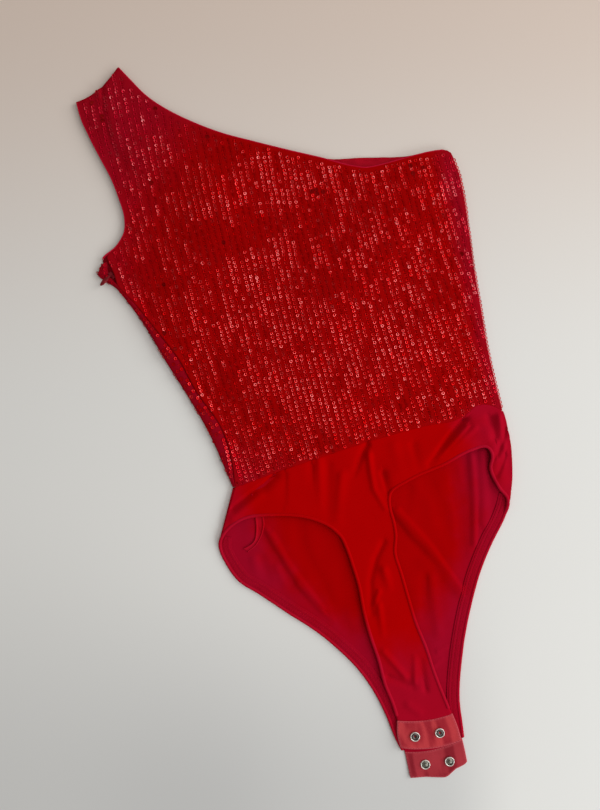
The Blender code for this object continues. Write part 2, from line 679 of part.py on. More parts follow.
def add_pull(collection, cutters, place):
    """Add the pull tab: a drop-shaped plate whose barrel turns on the slider's pin."""
    rings = []
    for section in PULL:
        half = PULL_THICKNESS / 2 * (0.7 if section.half_width < 0.6 else 1.0)
        ring = [(section.reach, section.half_width * math.cos(a), half * math.sin(a))
                for a in np.linspace(0.0, 2 * math.pi, 13)[:-1]]
        rings.append(ring)
    work = bmesh.new()
    verts = [[work.verts.new(Vector(point) * MM) for point in ring] for ring in rings]
    for first, second in zip(verts[:-1], verts[1:]):
        for k in range(len(first)):
            after = (k + 1) % len(first)
            work.faces.new((first[k], first[after], second[after], second[k]))
    work.faces.new(verts[0][::-1])
    work.faces.new(verts[-1])
    bmesh.ops.recalc_face_normals(work, faces=work.faces)
    mesh = bpy.data.meshes.new("zip_pull_tab")
    work.to_mesh(mesh)
    work.free()
    tab = add_object("zip_pull_tab", mesh, "painted_metal", collection)
    tab.matrix_world = place
    barrel = cross_cylinder("barrel", PULL_BARREL_RADIUS, PULL_BARREL_WIDTH, 0.0, cutters)
    combine(tab, barrel, "UNION", cutters, place)
    bore = cross_cylinder("bore", PULL_BORE_RADIUS, PULL_BARREL_WIDTH + 2.0, 0.0, cutters)
    combine(tab, bore, "DIFFERENCE", cutters, place)
    return tab


# ---------------------------------------------------------------- the garment

def add_bodice(collection):
    """Add the bodice's panels, the facing and the zip tape."""
    bodice = Bodice()
    add_cloth("back_bodice", bodice.back(), CLOTH, "sequin_cloth", collection)
    add_cloth("front_bodice", bodice.front(), CLOTH, "sequin_cloth", collection)

    layer_above = BACK_LEVEL + CLOTH / 2 + GAP + TRIM / 2
    rows, _ = smooth(FACING)
    facing = across(rows[:, 0:2], rows[:, 2:4], even(3), np.zeros(len(rows)))
    add_cloth("back_neck_facing", [raised(facing, layer_above, [])], TRIM, "lining", collection)

    seam = np.stack([bodice.seam_x, bodice.side[:, 1]], axis=1)
    seam = seam[(seam[:, 1] <= ZIP_TAPE_TOP) & (seam[:, 1] >= ZIP_TAPE_END)]
    tape = across(seam - (ZIP_TAPE_OUTER, 0.0), seam + (ZIP_TAPE_INNER, 0.0), even(2), np.zeros(len(seam)))
    add_cloth("zip_tape", [raised(tape, layer_above, [])], TRIM, "zip_tape", collection)


def add_brief(collection):
    """Add the brief's panels, hems, seam allowance and crotch tapes."""
    front_grids, front_left, front_right = front_brief()
    back_grid, back_left, back_right = back_brief()
    add_cloth("front_brief", front_grids, CLOTH, "jersey", collection)
    add_cloth("back_brief", [back_grid], CLOTH, "jersey", collection)

    under = -(CLOTH / 2 + HEM_GAP + TRIM / 2)
    over = CLOTH / 2 + GAP + TRIM / 2
    yoke, strip = front_grids[:2]
    hems = (
        ("front_left_leg_hem", hem_band(front_left, 1.0, 18.0, 2.0), (yoke, strip), under),
        ("front_right_leg_hem", hem_band(front_right, -1.0, 30.0, 2.0), (yoke, strip), under),
        ("back_left_leg_hem", hem_band(back_left, 1.0, 0.0, 2.0), (back_grid,), over),
        ("back_right_leg_hem", hem_band(back_right, -1.0, 0.0, 2.0), (back_grid,), over),
    )
    for name, plan, panels, offset in hems:
        add_cloth(name, [laid_on(plan, panels, offset)], TRIM, "jersey", collection)

    rows, _ = smooth(SEAM_ALLOWANCE, 12.0)
    allowance = across(rows[:, 0:2], rows[:, 2:4], even(2), np.zeros(len(rows)))
    add_cloth("left_seam_allowance", [laid_on(allowance, (back_grid,), over)], TRIM, "jersey", collection)

    tapes = (
        ("front_snap_tape", FRONT_TAPE, FRONT_TAPE_BOWS, FRONT_LEVEL),
        ("back_snap_tape", BACK_TAPE, BACK_TAPE_BOWS, SNAP_TAPE / 2),
    )
    for name, table, bows, level in tapes:
        rows = np.array(table)
        plan = across(rows[:, 0:2], rows[:, 2:4], even(STRIP_COLUMNS), bows)
        add_cloth(name, [raised(plan, level, [])], SNAP_TAPE, "twill_tape", collection)


def add_snaps(collection):
    """Add the two sockets on the front tape and the two studs on the back tape."""
    socket_z = FRONT_LEVEL + SNAP_TAPE / 2 + GAP
    stud_z = SNAP_TAPE + GAP
    for snap in SNAPS:
        turned_piece(f"snap_socket_{snap.side}", socket_profile(), (snap.socket_x, snap.socket_y, socket_z),
                     "snap_metal", collection)
        turned_piece(f"snap_stud_{snap.side}", stud_profile(), (snap.stud_x, snap.stud_y, stud_z),
                     "snap_metal", collection)


def main():
    """Build the bodysuit from an empty scene."""
    for thing in list(bpy.data.objects):
        bpy.data.objects.remove(thing, do_unlink=True)
    collection = bpy.data.collections.new(COLLECTION)
    cutters = bpy.data.collections.new("cutters")
    for owner in (collection, cutters):
        bpy.context.scene.collection.children.link(owner)
    add_bodice(collection)
    add_brief(collection)
    add_snaps(collection)
    turn = Matrix.Rotation(SLIDER_TURN, 4, "Z")
    add_slider(collection, cutters, Matrix.Translation(Vector((SLIDER_X, SLIDER_Y, 0.0)) * MM) @ turn)
    hinge = Matrix.Translation(Vector((SLIDER_X, SLIDER_Y, SLIDER_PIN_HEIGHT)) * MM) @ turn
    add_pull(collection, cutters, hinge)


main()
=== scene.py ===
"""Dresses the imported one-shoulder bodysuit: sequined bodice, jersey brief, snap tapes and side zip.

The garment lies on its back on z = 0, with its shoulder towards +Y, and the camera looks straight down.
Tables and sizes are in millimetres, and MM turns them into metres where a mesh is made. A cloth surface is
a grid of plan points given its height by the relief of its layer: the level, its folds and its ripples.
"""

import logging
import math
from dataclasses import dataclass, field
from enum import Enum
from typing import Any, Callable, NamedTuple, Sequence

import bmesh
import bpy
import numpy as np
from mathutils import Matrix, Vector


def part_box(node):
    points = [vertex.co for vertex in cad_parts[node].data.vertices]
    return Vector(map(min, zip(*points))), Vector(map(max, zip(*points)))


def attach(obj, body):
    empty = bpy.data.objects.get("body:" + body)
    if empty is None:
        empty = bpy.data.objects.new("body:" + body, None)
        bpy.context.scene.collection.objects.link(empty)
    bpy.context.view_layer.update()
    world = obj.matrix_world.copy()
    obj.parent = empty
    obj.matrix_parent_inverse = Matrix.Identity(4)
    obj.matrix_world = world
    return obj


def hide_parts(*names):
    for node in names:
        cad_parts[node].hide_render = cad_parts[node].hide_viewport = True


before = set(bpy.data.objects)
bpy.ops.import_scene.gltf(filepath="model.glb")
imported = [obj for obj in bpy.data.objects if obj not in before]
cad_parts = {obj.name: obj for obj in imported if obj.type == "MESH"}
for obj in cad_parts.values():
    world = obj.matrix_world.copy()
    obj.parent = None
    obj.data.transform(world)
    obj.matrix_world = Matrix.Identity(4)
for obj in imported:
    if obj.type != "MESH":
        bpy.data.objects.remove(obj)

Array = np.ndarray
Heights = Callable[[Array, Array], Array]  # heights over x and y of the plan
MM = 0.001
LOG = logging.getLogger("bodysuit")
GARMENT = "garment"
TURN_STEPS = 5  # faces round a quarter turn
RIPPLE_WAVES = 14  # sines that make up a ripple
SLOPE_STEP = 0.6  # how far to either side a slope is read
CLOTH_MERGE = 0.00002      # in metres: points this close on a cloth's grids are one
TURNED_MERGE = 0.000004  # the same on a turned form


# ---- numbers

class Fold(NamedTuple):
    """A ridge, or a trough below 0, along a line: half widths at its left and right, height at its ends."""

    line: tuple[tuple[float, float], ...]
    left: float
    right: float
    start: float
    end: float


def folds(*rows: tuple[float, ...]) -> tuple[Fold, ...]:
    """Folds from flat rows: half widths at the left and right, heights at the ends, then the line's x, y, x, y."""
    return tuple(Fold(tuple(zip(row[4::2], row[5::2])), *row[:4]) for row in rows)


def unit(vectors: Array) -> Array:
    """Vectors made one unit long."""
    return vectors / np.linalg.norm(vectors, axis=-1, keepdims=True)


def in_space(plan: Array, height: Array | float = 0.0) -> Array:
    """Plan vectors or points given a height."""
    return np.column_stack([plan, np.broadcast_to(height, len(plan))])


def bulge(shares: Array) -> Array:
    """Parabola 4 s (1 - s): 0 at both ends and 1 in the middle."""
    return 4.0 * shares * (1.0 - shares)


def travelled(points: Array) -> Array:
    """Distance along a line of points, from 0 at its first point."""
    return np.concatenate([[0.0], np.cumsum(np.linalg.norm(np.diff(points, axis=0), axis=1))])


def spaced(total: float, step: float, start_reach: float = 0.0, end_reach: float = 0.0) -> Array:
    """Distances from 0 to total, closer together over the reach of an edge that turns down.

    Over a reach r the distances are r (1 - sin a) for even angles a, and between them they are even.

    Args:
        total: the whole distance.
        step: the longest even step.
        start_reach: reach of the turned edge at the start, or 0.
        end_reach: reach of the turned edge at the end, or 0.

    Returns:
        The distances in rising order.
    """
    bend = 1.0 - np.sin(np.linspace(math.pi / 2, 0.0, TURN_STEPS + 1))[:-1]
    count = max(1, math.ceil((total - start_reach - end_reach) / step))
    parts = [np.linspace(start_reach, total - end_reach, count + 1)]
    if start_reach > 0.0:
        parts.insert(0, start_reach * bend)
    if end_reach > 0.0:
        parts.append(total - (end_reach * bend)[::-1])
    return np.concatenate(parts)


def knots_of(table: Array) -> Array:
    """Distance of each row of a table from its first, by its first two columns, at least 1 mm a row."""
    steps = np.linalg.norm(np.diff(table[:, :2], axis=0), axis=1)
    return np.concatenate([[0.0], np.cumsum(np.maximum(steps, 1.0))])


def cubic_rows(table: Array, places: Array) -> Array:
    """Rows at given distances along a table, on cubics through its rows.

    Between rows a and b, L apart, the row at share t is
    (2t^3 - 3t^2 + 1) a + (3t^2 - 2t^3) b + L (t^3 - 2t^2 + t) a' + L (t^3 - t^2) b'.

    Args:
        table: rows of numbers whose first two columns give a place.
        places: distances along the table.

    Returns:
        One row for each place.
    """
    knots = knots_of(table)
    slopes = np.gradient(table, knots, axis=0)
    index = np.clip(np.searchsorted(knots, places, side="right") - 1, 0, len(knots) - 2)
    length = np.diff(knots)[index][:, None]
    t = (places[:, None] - knots[index][:, None]) / length
    return ((2 * t**3 - 3 * t**2 + 1) * table[index] + (3 * t**2 - 2 * t**3) * table[index + 1]
            + length * (t**3 - 2 * t**2 + t) * slopes[index] + length * (t**3 - t**2) * slopes[index + 1])


def fine_rows(table: Array, step: float, reach: float = 0.0) -> Array:
    """Rows a step apart along a table, on cubics through its rows, and closer over the reach of its ends."""
    return cubic_rows(table, spaced(knots_of(table)[-1], step, reach, reach))


def rows_at(places: Array, knots: Array, table: Array) -> Array:
    """Rows at given places of a table whose own rows are at the knots, on straight lines between them."""
    return np.stack([np.interp(places, knots, column) for column in table.T], axis=1)


def even_points(points: Array, step: float, offset: float = 0.0) -> tuple[Array, Array]:
    """Points a step apart along a line of points.

    Args:
        points: the line's points.
        step: distance from one to the next.
        offset: distance of the first from the line's start.

    Returns:
        The points found, and the unit direction of the line at each.
    """
    along = travelled(points)
    places = np.arange(offset, along[-1], step)
    return rows_at(places, along, points), unit(rows_at(places, along, np.gradient(points, along, axis=0)))


def softened(points: Array, reach: float) -> Array:
    """Round a line's corners by a moving mean over a reach; its ends stay.

    Args:
        points: the line's points.
        reach: length of the mean.

    Returns:
        Points about 1 mm apart.
    """
    half = max(int(reach / 2), 1)
    fine, _ = even_points(points, 1.0)
    padded = np.concatenate([np.repeat(fine[:1], half, axis=0), fine, np.repeat(fine[-1:], half, axis=0)])
    kernel = np.full(2 * half + 1, 1.0 / (2 * half + 1))
    return np.stack([np.convolve(column, kernel, mode="valid") for column in padded.T], axis=1)


def outward(edge: Array, side: float) -> Array:
    """Unit vectors square to an edge that runs down the garment; side is 1 at its left, -1 at its right."""
    run = np.gradient(edge, axis=0)
    return unit(np.stack([run[:, 1], -run[:, 0]], axis=1) * side)


def across(left: Array, right: Array, shares: Array) -> Array:
    """Grid of plan points: left (1 - s) + right s for each row's ends and each share s."""
    share = np.asarray(shares, float)[None, :, None]
    return left[:, None, :] * (1.0 - share) + right[:, None, :] * share


def outline_of(plan: Array) -> Array:
    """Points round a grid, from its first corner along its first row."""
    return np.concatenate([plan[0], plan[1:, -1], plan[-1, -2::-1], plan[-2:0:-1, 0]])


def nearest(x: Array, y: Array, line: Array) -> tuple[Array, Array, Array]:
    """Find where points lie against a line of points, by its nearest straight part.

    Args:
        x: the points' x.
        y: their y.
        line: the line's points.

    Returns:
        Distance to the line, side of it (1 left of its direction, -1 right) and share along it.
    """
    best = np.full(np.shape(x), np.inf)
    side = np.ones(np.shape(x))
    share = np.zeros(np.shape(x))
    along = travelled(line)
    for k, (start, end) in enumerate(zip(line[:-1], line[1:])):
        run = end - start
        square = max(float(run @ run), 1e-12)
        t = np.clip(((x - start[0]) * run[0] + (y - start[1]) * run[1]) / square, 0.0, 1.0)
        dx, dy = x - start[0] - t * run[0], y - start[1] - t * run[1]
        distance = np.hypot(dx, dy)
        closer = distance < best
        best = np.where(closer, distance, best)
        side = np.where(closer, np.sign(run[0] * dy - run[1] * dx), side)
        share = np.where(closer, (along[k] + t * math.sqrt(square)) / along[-1], share)
    return best, side, share


def relief(x: Array, y: Array, folds: Sequence[Fold]) -> Array:
    """Sum of folds: each adds h exp(-(d / w)^2), d off its line, w that side's half width, h along it.

    Args:
        x: the points' x.
        y: their y.
        folds: the folds.

    Returns:
        The height that they add at each point.
    """
    total = np.zeros(np.shape(x))
    for fold in folds:
        distance, side, share = nearest(x, y, np.array(fold.line, float))
        width = np.where(side > 0, fold.left, fold.right)
        height = fold.start + (fold.end - fold.start) * share
        total += height * np.exp(-(distance / width) ** 2)
    return total


def ripple(x: Array, y: Array, wavelength: float, seed: int) -> Array:
    """Smooth uneven waves: the sum of sines of chance headings, phases and lengths about one wavelength.

    Args:
        x: the points' x.
        y: their y.
        wavelength: the usual length of a wave.
        seed: start of the chance numbers.

    Returns:
        The waves' height at each point, of about unit spread.
    """
    rng = np.random.default_rng(seed)
    headings = rng.uniform(0.0, math.pi, RIPPLE_WAVES)
    phases = rng.uniform(0.0, 2 * math.pi, RIPPLE_WAVES)
    numbers = 2 * math.pi / (wavelength * rng.uniform(0.75, 1.35, RIPPLE_WAVES))
    flat = np.stack([np.ravel(x), np.ravel(y)])
    waves = np.cos(headings)[:, None] * flat[0] + np.sin(headings)[:, None] * flat[1]
    value = np.sin(waves * numbers[:, None] + phases[:, None]).sum(axis=0) / math.sqrt(RIPPLE_WAVES / 2)
    return value.reshape(np.shape(x))


def inside_by(x: Array, y: Array, outline: Array) -> Array:
    """Distance inside a closed outline: to its nearest side, with its sign from the crossings test.

    Args:
        x: the points' x.
        y: their y.
        outline: the outline's corners in order.

    Returns:
        The distance of each point, below 0 outside.
    """
    closed = np.concatenate([outline, outline[:1]])
    distance, _, _ = nearest(x, y, closed)
    inside = np.zeros(np.shape(x), bool)
    for (x0, y0), (x1, y1) in zip(closed[:-1], closed[1:]):
        if y0 != y1:
            crossing = x0 + (y - y0) * (x1 - x0) / (y1 - y0)
            inside ^= ((y0 > y) != (y1 > y)) & (x < crossing)
    return np.where(inside, distance, -distance)


def end_drop(distance: Array, reach: float, depth: float) -> Array:
    """Quarter ellipse at an edge: depth (1 - sqrt(1 - t^2)), t from 0 at its reach to 1 at the edge."""
    t = np.clip(1.0 - distance / reach, 0.0, 1.0)
    return depth * (1.0 - np.sqrt(1.0 - t * t))


# ---- meshes

def quads_between(corner: Array) -> Array:
    """Quads of a grid from the numbers of its corners, in one turning direction."""
    return np.stack([corner[:-1, :-1], corner[1:, :-1], corner[1:, 1:], corner[:-1, 1:]], axis=-1).reshape(-1, 4)


def corner_numbers(grid: Array) -> Array:
    """Numbers of a grid's points, row by row."""
    return np.arange(grid.shape[0] * grid.shape[1]).reshape(grid.shape[:2])


def turned(profile: Sequence[tuple[float, float]], angles: Array) -> Array:
    """Grid of a profile of (radius, height) carried round Z, a row for each angle: (r cos a, r sin a, h)."""
    radius, height = np.array(profile, float).T
    return np.stack([np.outer(np.cos(angles), radius), np.outer(np.sin(angles), radius),
                     np.tile(height, (len(angles), 1))], axis=-1)


def quad_mesh(name: str, points: Array, quads: Array) -> bpy.types.Mesh:
    """Make a mesh of quads.

    Args:
        name: the mesh's name.
        points: its points in millimetres.
        quads: four point numbers for each face.

    Returns:
        The new mesh.
    """
    mesh = bpy.data.meshes.new(name)
    mesh.vertices.add(len(points))
    mesh.vertices.foreach_set("co", (points * MM).astype(np.float32).ravel())
    mesh.loops.add(quads.size)
    mesh.loops.foreach_set("vertex_index", quads.astype(np.int32).ravel())
    mesh.polygons.add(len(quads))
    mesh.polygons.foreach_set("loop_start", np.arange(0, quads.size, 4, dtype=np.int32))
    mesh.update(calc_edges=True)
    mesh.validate()
    mesh.shade_flat()
    return mesh


def points_of(mesh: bpy.types.Mesh) -> Array:
    """Read a mesh's points.

    Args:
        mesh: the mesh.

    Returns:
        One row in metres for each point.
    """
    places = np.zeros(len(mesh.vertices) * 3, np.float32)
    mesh.vertices.foreach_get("co", places)
    return places.reshape(-1, 3)


def seal(mesh: bpy.types.Mesh, merge: float, closed: bool) -> None:
    """Join a mesh's doubles, and turn its faces out or, on an open surface, up.

    Args:
        mesh: the mesh.
        merge: how close in metres two points are one.
        closed: whether its faces turn out.
    """
    work = bmesh.new()
    work.from_mesh(mesh)
    bmesh.ops.remove_doubles(work, verts=work.verts, dist=merge)
    bmesh.ops.recalc_face_normals(work, faces=work.faces)
    if not closed and sum(face.normal.z * face.calc_area() for face in work.faces) < 0.0:
        bmesh.ops.reverse_faces(work, faces=work.faces)
    work.to_mesh(mesh)
    work.free()


def cloth_mesh(name: str, grids: Sequence[Array], closed: bool = False) -> bpy.types.Mesh:
    """Make a mesh of grids that are joined where they meet, with a map of its plan.

    U is x plus the fall below the mesh's mean height, towards the nearer side, and V is y, in metres.

    Args:
        name: the mesh's name.
        grids: grids of points in millimetres.
        closed: whether they enclose a form, whose faces turn out, or else they face up.

    Returns:
        The new mesh.
    """
    points, quads, first = [], [], 0
    for grid in grids:
        points.append(grid.reshape(-1, 3))
        quads.append(quads_between(corner_numbers(grid)) + first)
        first += len(points[-1])
    mesh = quad_mesh(name, np.concatenate(points), np.concatenate(quads))
    seal(mesh, CLOTH_MERGE, closed)
    place = points_of(mesh)
    fall = place[:, 2].mean() - place[:, 2]
    middle = (place[:, 0].max() + place[:, 0].min()) / 2
    unrolled_x = place[:, 0] + np.sign(place[:, 0] - middle) * np.maximum(fall, 0.0)
    corners = np.zeros(len(mesh.loops), np.int32)
    mesh.loops.foreach_get("vertex_index", corners)
    unrolled = np.stack([unrolled_x, place[:, 1]], axis=1)[corners]
    mesh.uv_layers.new(name="cloth").data.foreach_set("uv", unrolled.astype(np.float32).ravel())
    mesh.shade_smooth()
    return mesh


@dataclass(frozen=True)
class Template:
    """A small closed form that is repeated: its points in millimetres and its quads."""

    points: Array
    quads: Array

    @classmethod
    def ring(cls, profile: Sequence[tuple[float, float]], segments: int) -> "Template":
        """Ring whose section is a closed profile of (radius, height), turned about Z."""
        return cls.wrapped(turned(profile, np.linspace(0.0, 2 * math.pi, segments, endpoint=False)), True)

    @classmethod
    def tube(cls, path: Array, radii: Array, sides: int) -> "Template":
        """Tube along a path in the XZ plane: each ring is the path's point plus r (0, cos a, sin a).

        Args:
            path: the path's points.
            radii: the tube's radius at each.
            sides: how many sides the tube has.

        Returns:
            The template.
        """
        angles = np.linspace(0.0, 2 * math.pi, sides, endpoint=False)
        ring = np.stack([np.zeros(sides), np.cos(angles), np.sin(angles)], axis=1)
        return cls.wrapped(path[:, None, :] + radii[:, None, None] * ring[None], False)

    @classmethod
    def wrapped(cls, grid: Array, close_rows: bool) -> "Template":
        """Close a grid of points on itself and turn it to face outwards.

        Args:
            grid: the points, whose columns always meet.
            close_rows: whether the last row meets the first too.

        Returns:
            The template.
        """
        corner = corner_numbers(grid)
        if close_rows:
            corner = np.concatenate([corner, corner[:1]])
        quads = quads_between(np.concatenate([corner, corner[:, :1]], axis=1))
        points = grid.reshape(-1, 3)
        a, b, c, d = (points[quads[:, k]] for k in range(4))
        volume = np.einsum("ij,ij->i", a, np.cross(b, c)).sum() + np.einsum("ij,ij->i", a, np.cross(c, d)).sum()
        return cls(points, quads if volume > 0 else quads[:, ::-1])

    def repeated(self, name: str, places: Array, axes: Array, tones: Array) -> bpy.types.Mesh:
        """Mesh of one copy at each place: place + p @ axes for each of its points p.

        Args:
            name: the mesh's name.
            places: n places in millimetres.
            axes: n sets of three unit rows, where each copy's X, Y and Z point.
            tones: n numbers from 0 to 1, kept in the attribute "tone".

        Returns:
            The mesh, one closed form for each place.
        """
        points = places[:, None, :] + np.einsum("kp,npq->nkq", self.points, axes)
        quads = self.quads[None] + len(self.points) * np.arange(len(places))[:, None, None]
        mesh = quad_mesh(name, points.reshape(-1, 3), quads.reshape(-1, 4))
        set_tone(mesh, np.repeat(tones, len(self.points)))
        return mesh


def set_tone(mesh: bpy.types.Mesh, tones: Array) -> None:
    """Keep a number from 0 to 1 for each point of a mesh in its attribute "tone"."""
    mesh.attributes.new("tone", "FLOAT", "POINT").data.foreach_set("value", tones.astype(np.float32))


def facing_axes(normals: Array, heading: Array) -> Array:
    """Axes whose Z is a normal and whose X is the heading made square to it.

    Args:
        normals: n vectors of any length.
        heading: n unit vectors.

    Returns:
        n sets of three unit rows.
    """
    z = unit(normals)
    x = unit(heading - np.einsum("ij,ij->i", heading, z)[:, None] * z)
    return np.stack([x, np.cross(z, x), z], axis=1)


def lathe(name: str, profile: Sequence[tuple[float, float]], centre: Sequence[float],
          segments: int) -> bpy.types.Mesh:
    """Make a turned form: a profile carried round a circle, plus its centre.

    Args:
        name: the mesh's name.
        profile: its section as (radius, height), closed or from the axis to the axis.
        centre: where its axis and height 0 meet.
        segments: how many flats go round.

    Returns:
        The new mesh.
    """
    grid = turned(profile, np.linspace(0.0, 2 * math.pi, segments + 1)).transpose(1, 0, 2) + centre
    mesh = quad_mesh(name, grid.reshape(-1, 3), quads_between(corner_numbers(grid)))
    seal(mesh, TURNED_MERGE, True)
    mesh.shade_smooth()
    return mesh


# ---- shader nodes

class Signal:
    """A node's output; sums and products of signals add the Math nodes that work them out."""

    def __init__(self, kit: "Kit", socket: bpy.types.NodeSocket) -> None:
        self.kit = kit
        self.socket = socket

    def __add__(self, other: "Value") -> "Signal":
        """Sum of two values."""
        return self.kit.math("ADD", self, other)

    __radd__ = __add__

    def __mul__(self, other: "Value") -> "Signal":
        """Product of two values."""
        return self.kit.math("MULTIPLY", self, other)

    __rmul__ = __mul__

    def __sub__(self, other: "Value") -> "Signal":
        """This value less another."""
        return self.kit.math("SUBTRACT", self, other)

    def __rsub__(self, other: "Value") -> "Signal":
        """Another value less this one."""
        return self.kit.math("SUBTRACT", other, self)

    def __pow__(self, other: "Value") -> "Signal":
        """This value to a power."""
        return self.kit.math("POWER", self, other)

    def between(self, low: float, high: float) -> "Signal":
        """0 at low, 1 at high, with soft ends."""
        return self.kit.node("ShaderNodeMapRange", {"interpolation_type": "SMOOTHSTEP"},
                             {"Value": self, "From Min": low, "From Max": high})


Value = Signal | float
Triple = tuple[float, float, float]


class Kit:
    """Adds nodes to one new material."""

    wave_unit = 0.31416        # scale of Blender's waves that sets one wave a metre

    def __init__(self, name: str) -> None:
        """Start a material that holds only its Principled shader and its output.

        Args:
            name: the material's name.
        """
        self.material = bpy.data.materials.new(name)
        self.material.use_nodes = True
        self.tree = self.material.node_tree
        self.shader = self.tree.nodes["Principled BSDF"]

    def node(self, kind: str, settings: dict[str, Any], inputs: dict[int | str, Any],
             output: int | str = 0) -> Signal:
        """Add any node.

        Args:
            kind: the node's type.
            settings: its settings, set first.
            inputs: values or signals for its sockets.
            output: which output to return.

        Returns:
            That output.
        """
        made = self.tree.nodes.new(kind)
        for key, value in settings.items():
            setattr(made, key, value)
        for key, value in inputs.items():
            self.feed(made.inputs[key], value)
        return Signal(self, made.outputs[output])

    def feed(self, socket: bpy.types.NodeSocket, value: Any) -> None:
        """Link a signal to a socket, or set its value; a colour of three gets its alpha.

        Args:
            socket: the socket.
            value: a signal, number or tuple.
        """
        if isinstance(value, Signal):
            self.tree.links.new(value.socket, socket)
        elif isinstance(value, tuple) and socket.type == "RGBA":
            socket.default_value = (*value, 1.0)
        else:
            socket.default_value = value

    def math(self, operation: str, first: Value, second: Value) -> Signal:
        """One Math node on two values."""
        return self.node("ShaderNodeMath", {"operation": operation}, {0: first, 1: second})

    def blend(self, share: Value, first: Any, second: Any) -> Signal:
        """Colour mixed from the first, at share 0, to the second, at share 1."""
        return self.node("ShaderNodeMix", {"data_type": "RGBA"}, {0: share, 6: first, 7: second}, 2)

    def noise(self, place: Signal, scale: float, detail: float = 2.0) -> Signal:
        """Smooth noise about 0.5 at a scale in 1 / m."""
        return self.node("ShaderNodeTexNoise", {}, {"Vector": place, "Scale": scale, "Detail": detail}, "Fac")

    def place(self) -> Signal:
        """The point on the piece, in metres."""
        return self.node("ShaderNodeTexCoord", {}, {}, "Object")

    def cloth_place(self) -> Signal:
        """The point on the unrolled cloth, in metres."""
        return self.node("ShaderNodeUVMap", {"uv_map": "cloth"}, {})

    def mapped(self, place: Signal, scale: Triple, turn: float = 0.0) -> Signal:
        """A place turned about Z and scaled along each axis."""
        return self.node("ShaderNodeMapping", {}, {"Vector": place, "Rotation": (0.0, 0.0, turn), "Scale": scale})

    def distance(self, place: Signal, centre: Triple) -> Signal:
        """How far a place is from a centre."""
        return self.node("ShaderNodeVectorMath", {"operation": "DISTANCE"}, {0: place, 1: centre}, "Value")

    def along(self, place: Signal, way: Triple) -> Signal:
        """How far a place lies along a direction."""
        return self.node("ShaderNodeVectorMath", {"operation": "DOT_PRODUCT"}, {0: place, 1: way}, "Value")

    def painted_shade_share(self) -> Signal:
        """How far the bodice's red turns to crimson: painted shade towards its outer parts.

        Returns:
            1 at the shoulder and along the right fold, 0 in the middle.
        """
        place = self.place()
        mottle = self.noise(place, 60.0)
        # painted shade: crimson grows away from the middle, towards the shoulder and the right fold
        far = (self.distance(place, (0.03, 0.12, 0.004)) + 0.03 * mottle).between(0.175, 0.275)
        beside = (self.along(place, (1.0, -0.087, 0.0)) + 0.01 * mottle).between(0.148, 0.172)
        return self.math("MAXIMUM", far, beside)

    def tone(self) -> Signal:
        """The piece's own number for each repeated form."""
        return self.node("ShaderNodeAttribute", {"attribute_name": "tone"}, {}, "Fac")

    def waves(self, place: Signal, pitch_mm: float, direction: str, bend: float = 0.0) -> Signal:
        """Sine bands a pitch apart.

        Args:
            place: where they are read.
            pitch_mm: from one band to the next.
            direction: the axis that they are square to.
            bend: how uneven they are.

        Returns:
            The bands, from 0 to 1.
        """
        settings = {"wave_type": "BANDS", "bands_direction": direction, "wave_profile": "SIN"}
        scale = self.wave_unit / (pitch_mm * MM)
        return self.node("ShaderNodeTexWave", settings, {"Vector": place, "Scale": scale, "Distortion": bend}, "Fac")

    def finish(self, varying: dict[str, Value], fixed: dict[str, Any], bump: Signal | None = None,
               depth: float = 0.0001) -> bpy.types.Material:
        """Feed the shader and return the material.

        Args:
            varying: sockets that change over the surface.
            fixed: sockets with one value.
            bump: height for the Bump node, 0 to 1.
            depth: its depth in metres.

        Returns:
            The finished material.
        """
        for key, value in {**fixed, **varying}.items():
            self.feed(self.shader.inputs[key], value)
        if bump is not None:
            normal = self.node("ShaderNodeBump", {}, {"Height": bump, "Distance": depth, "Strength": 1.0})
            self.feed(self.shader.inputs["Normal"], normal)
        return self.material


# ---- finishes

@dataclass(frozen=True)
class SequinFilm:
    """Clear red film with a mirror backing, cut into cups: some cups are duller than others, cups turned to the
    light are painted brighter, and the film takes a painted crimson shade towards the outer parts.
    """

    black: Triple = (0.20, 0.003, 0.003)
    dull: Triple = (0.53, 0.0, 0.0)
    bright: Triple = (0.75, 0.003, 0.005)
    # painted shade: the film's crimson tint towards the shoulder and the right fold
    painted_shade_tint: Triple = (0.58, 0.004, 0.030)
    roughness: float = 0.45

    def material(self, name: str) -> bpy.types.Material:
        """Make the material: colour and gloss follow each cup's tone, so cups turned to the light get a painted
        highlight; the colour turns to the painted shade tint away from the middle.

        Args:
            name: the material's name.

        Returns:
            The new material.
        """
        kit = Kit(name)
        tone = kit.tone()
        smudge = kit.noise(kit.place(), 900.0)
        # painted highlight and shade: the tone brightens cups turned to the light, and the colour turns crimson away
        # from the middle
        body = kit.blend(0.8 * kit.painted_shade_share(), kit.blend(tone, self.dull, self.bright), self.painted_shade_tint)
        colour = kit.blend(tone.between(0.0, 0.03), self.black, body)
        return kit.finish({"Base Color": colour, "Roughness": self.roughness + 0.12 * smudge - 0.06 * tone,
                           "Coat Weight": 0.01 + 0.55 * tone**2.0},
                          {"Metallic": 1.0, "Coat Roughness": 0.15, "Coat IOR": 1.85})


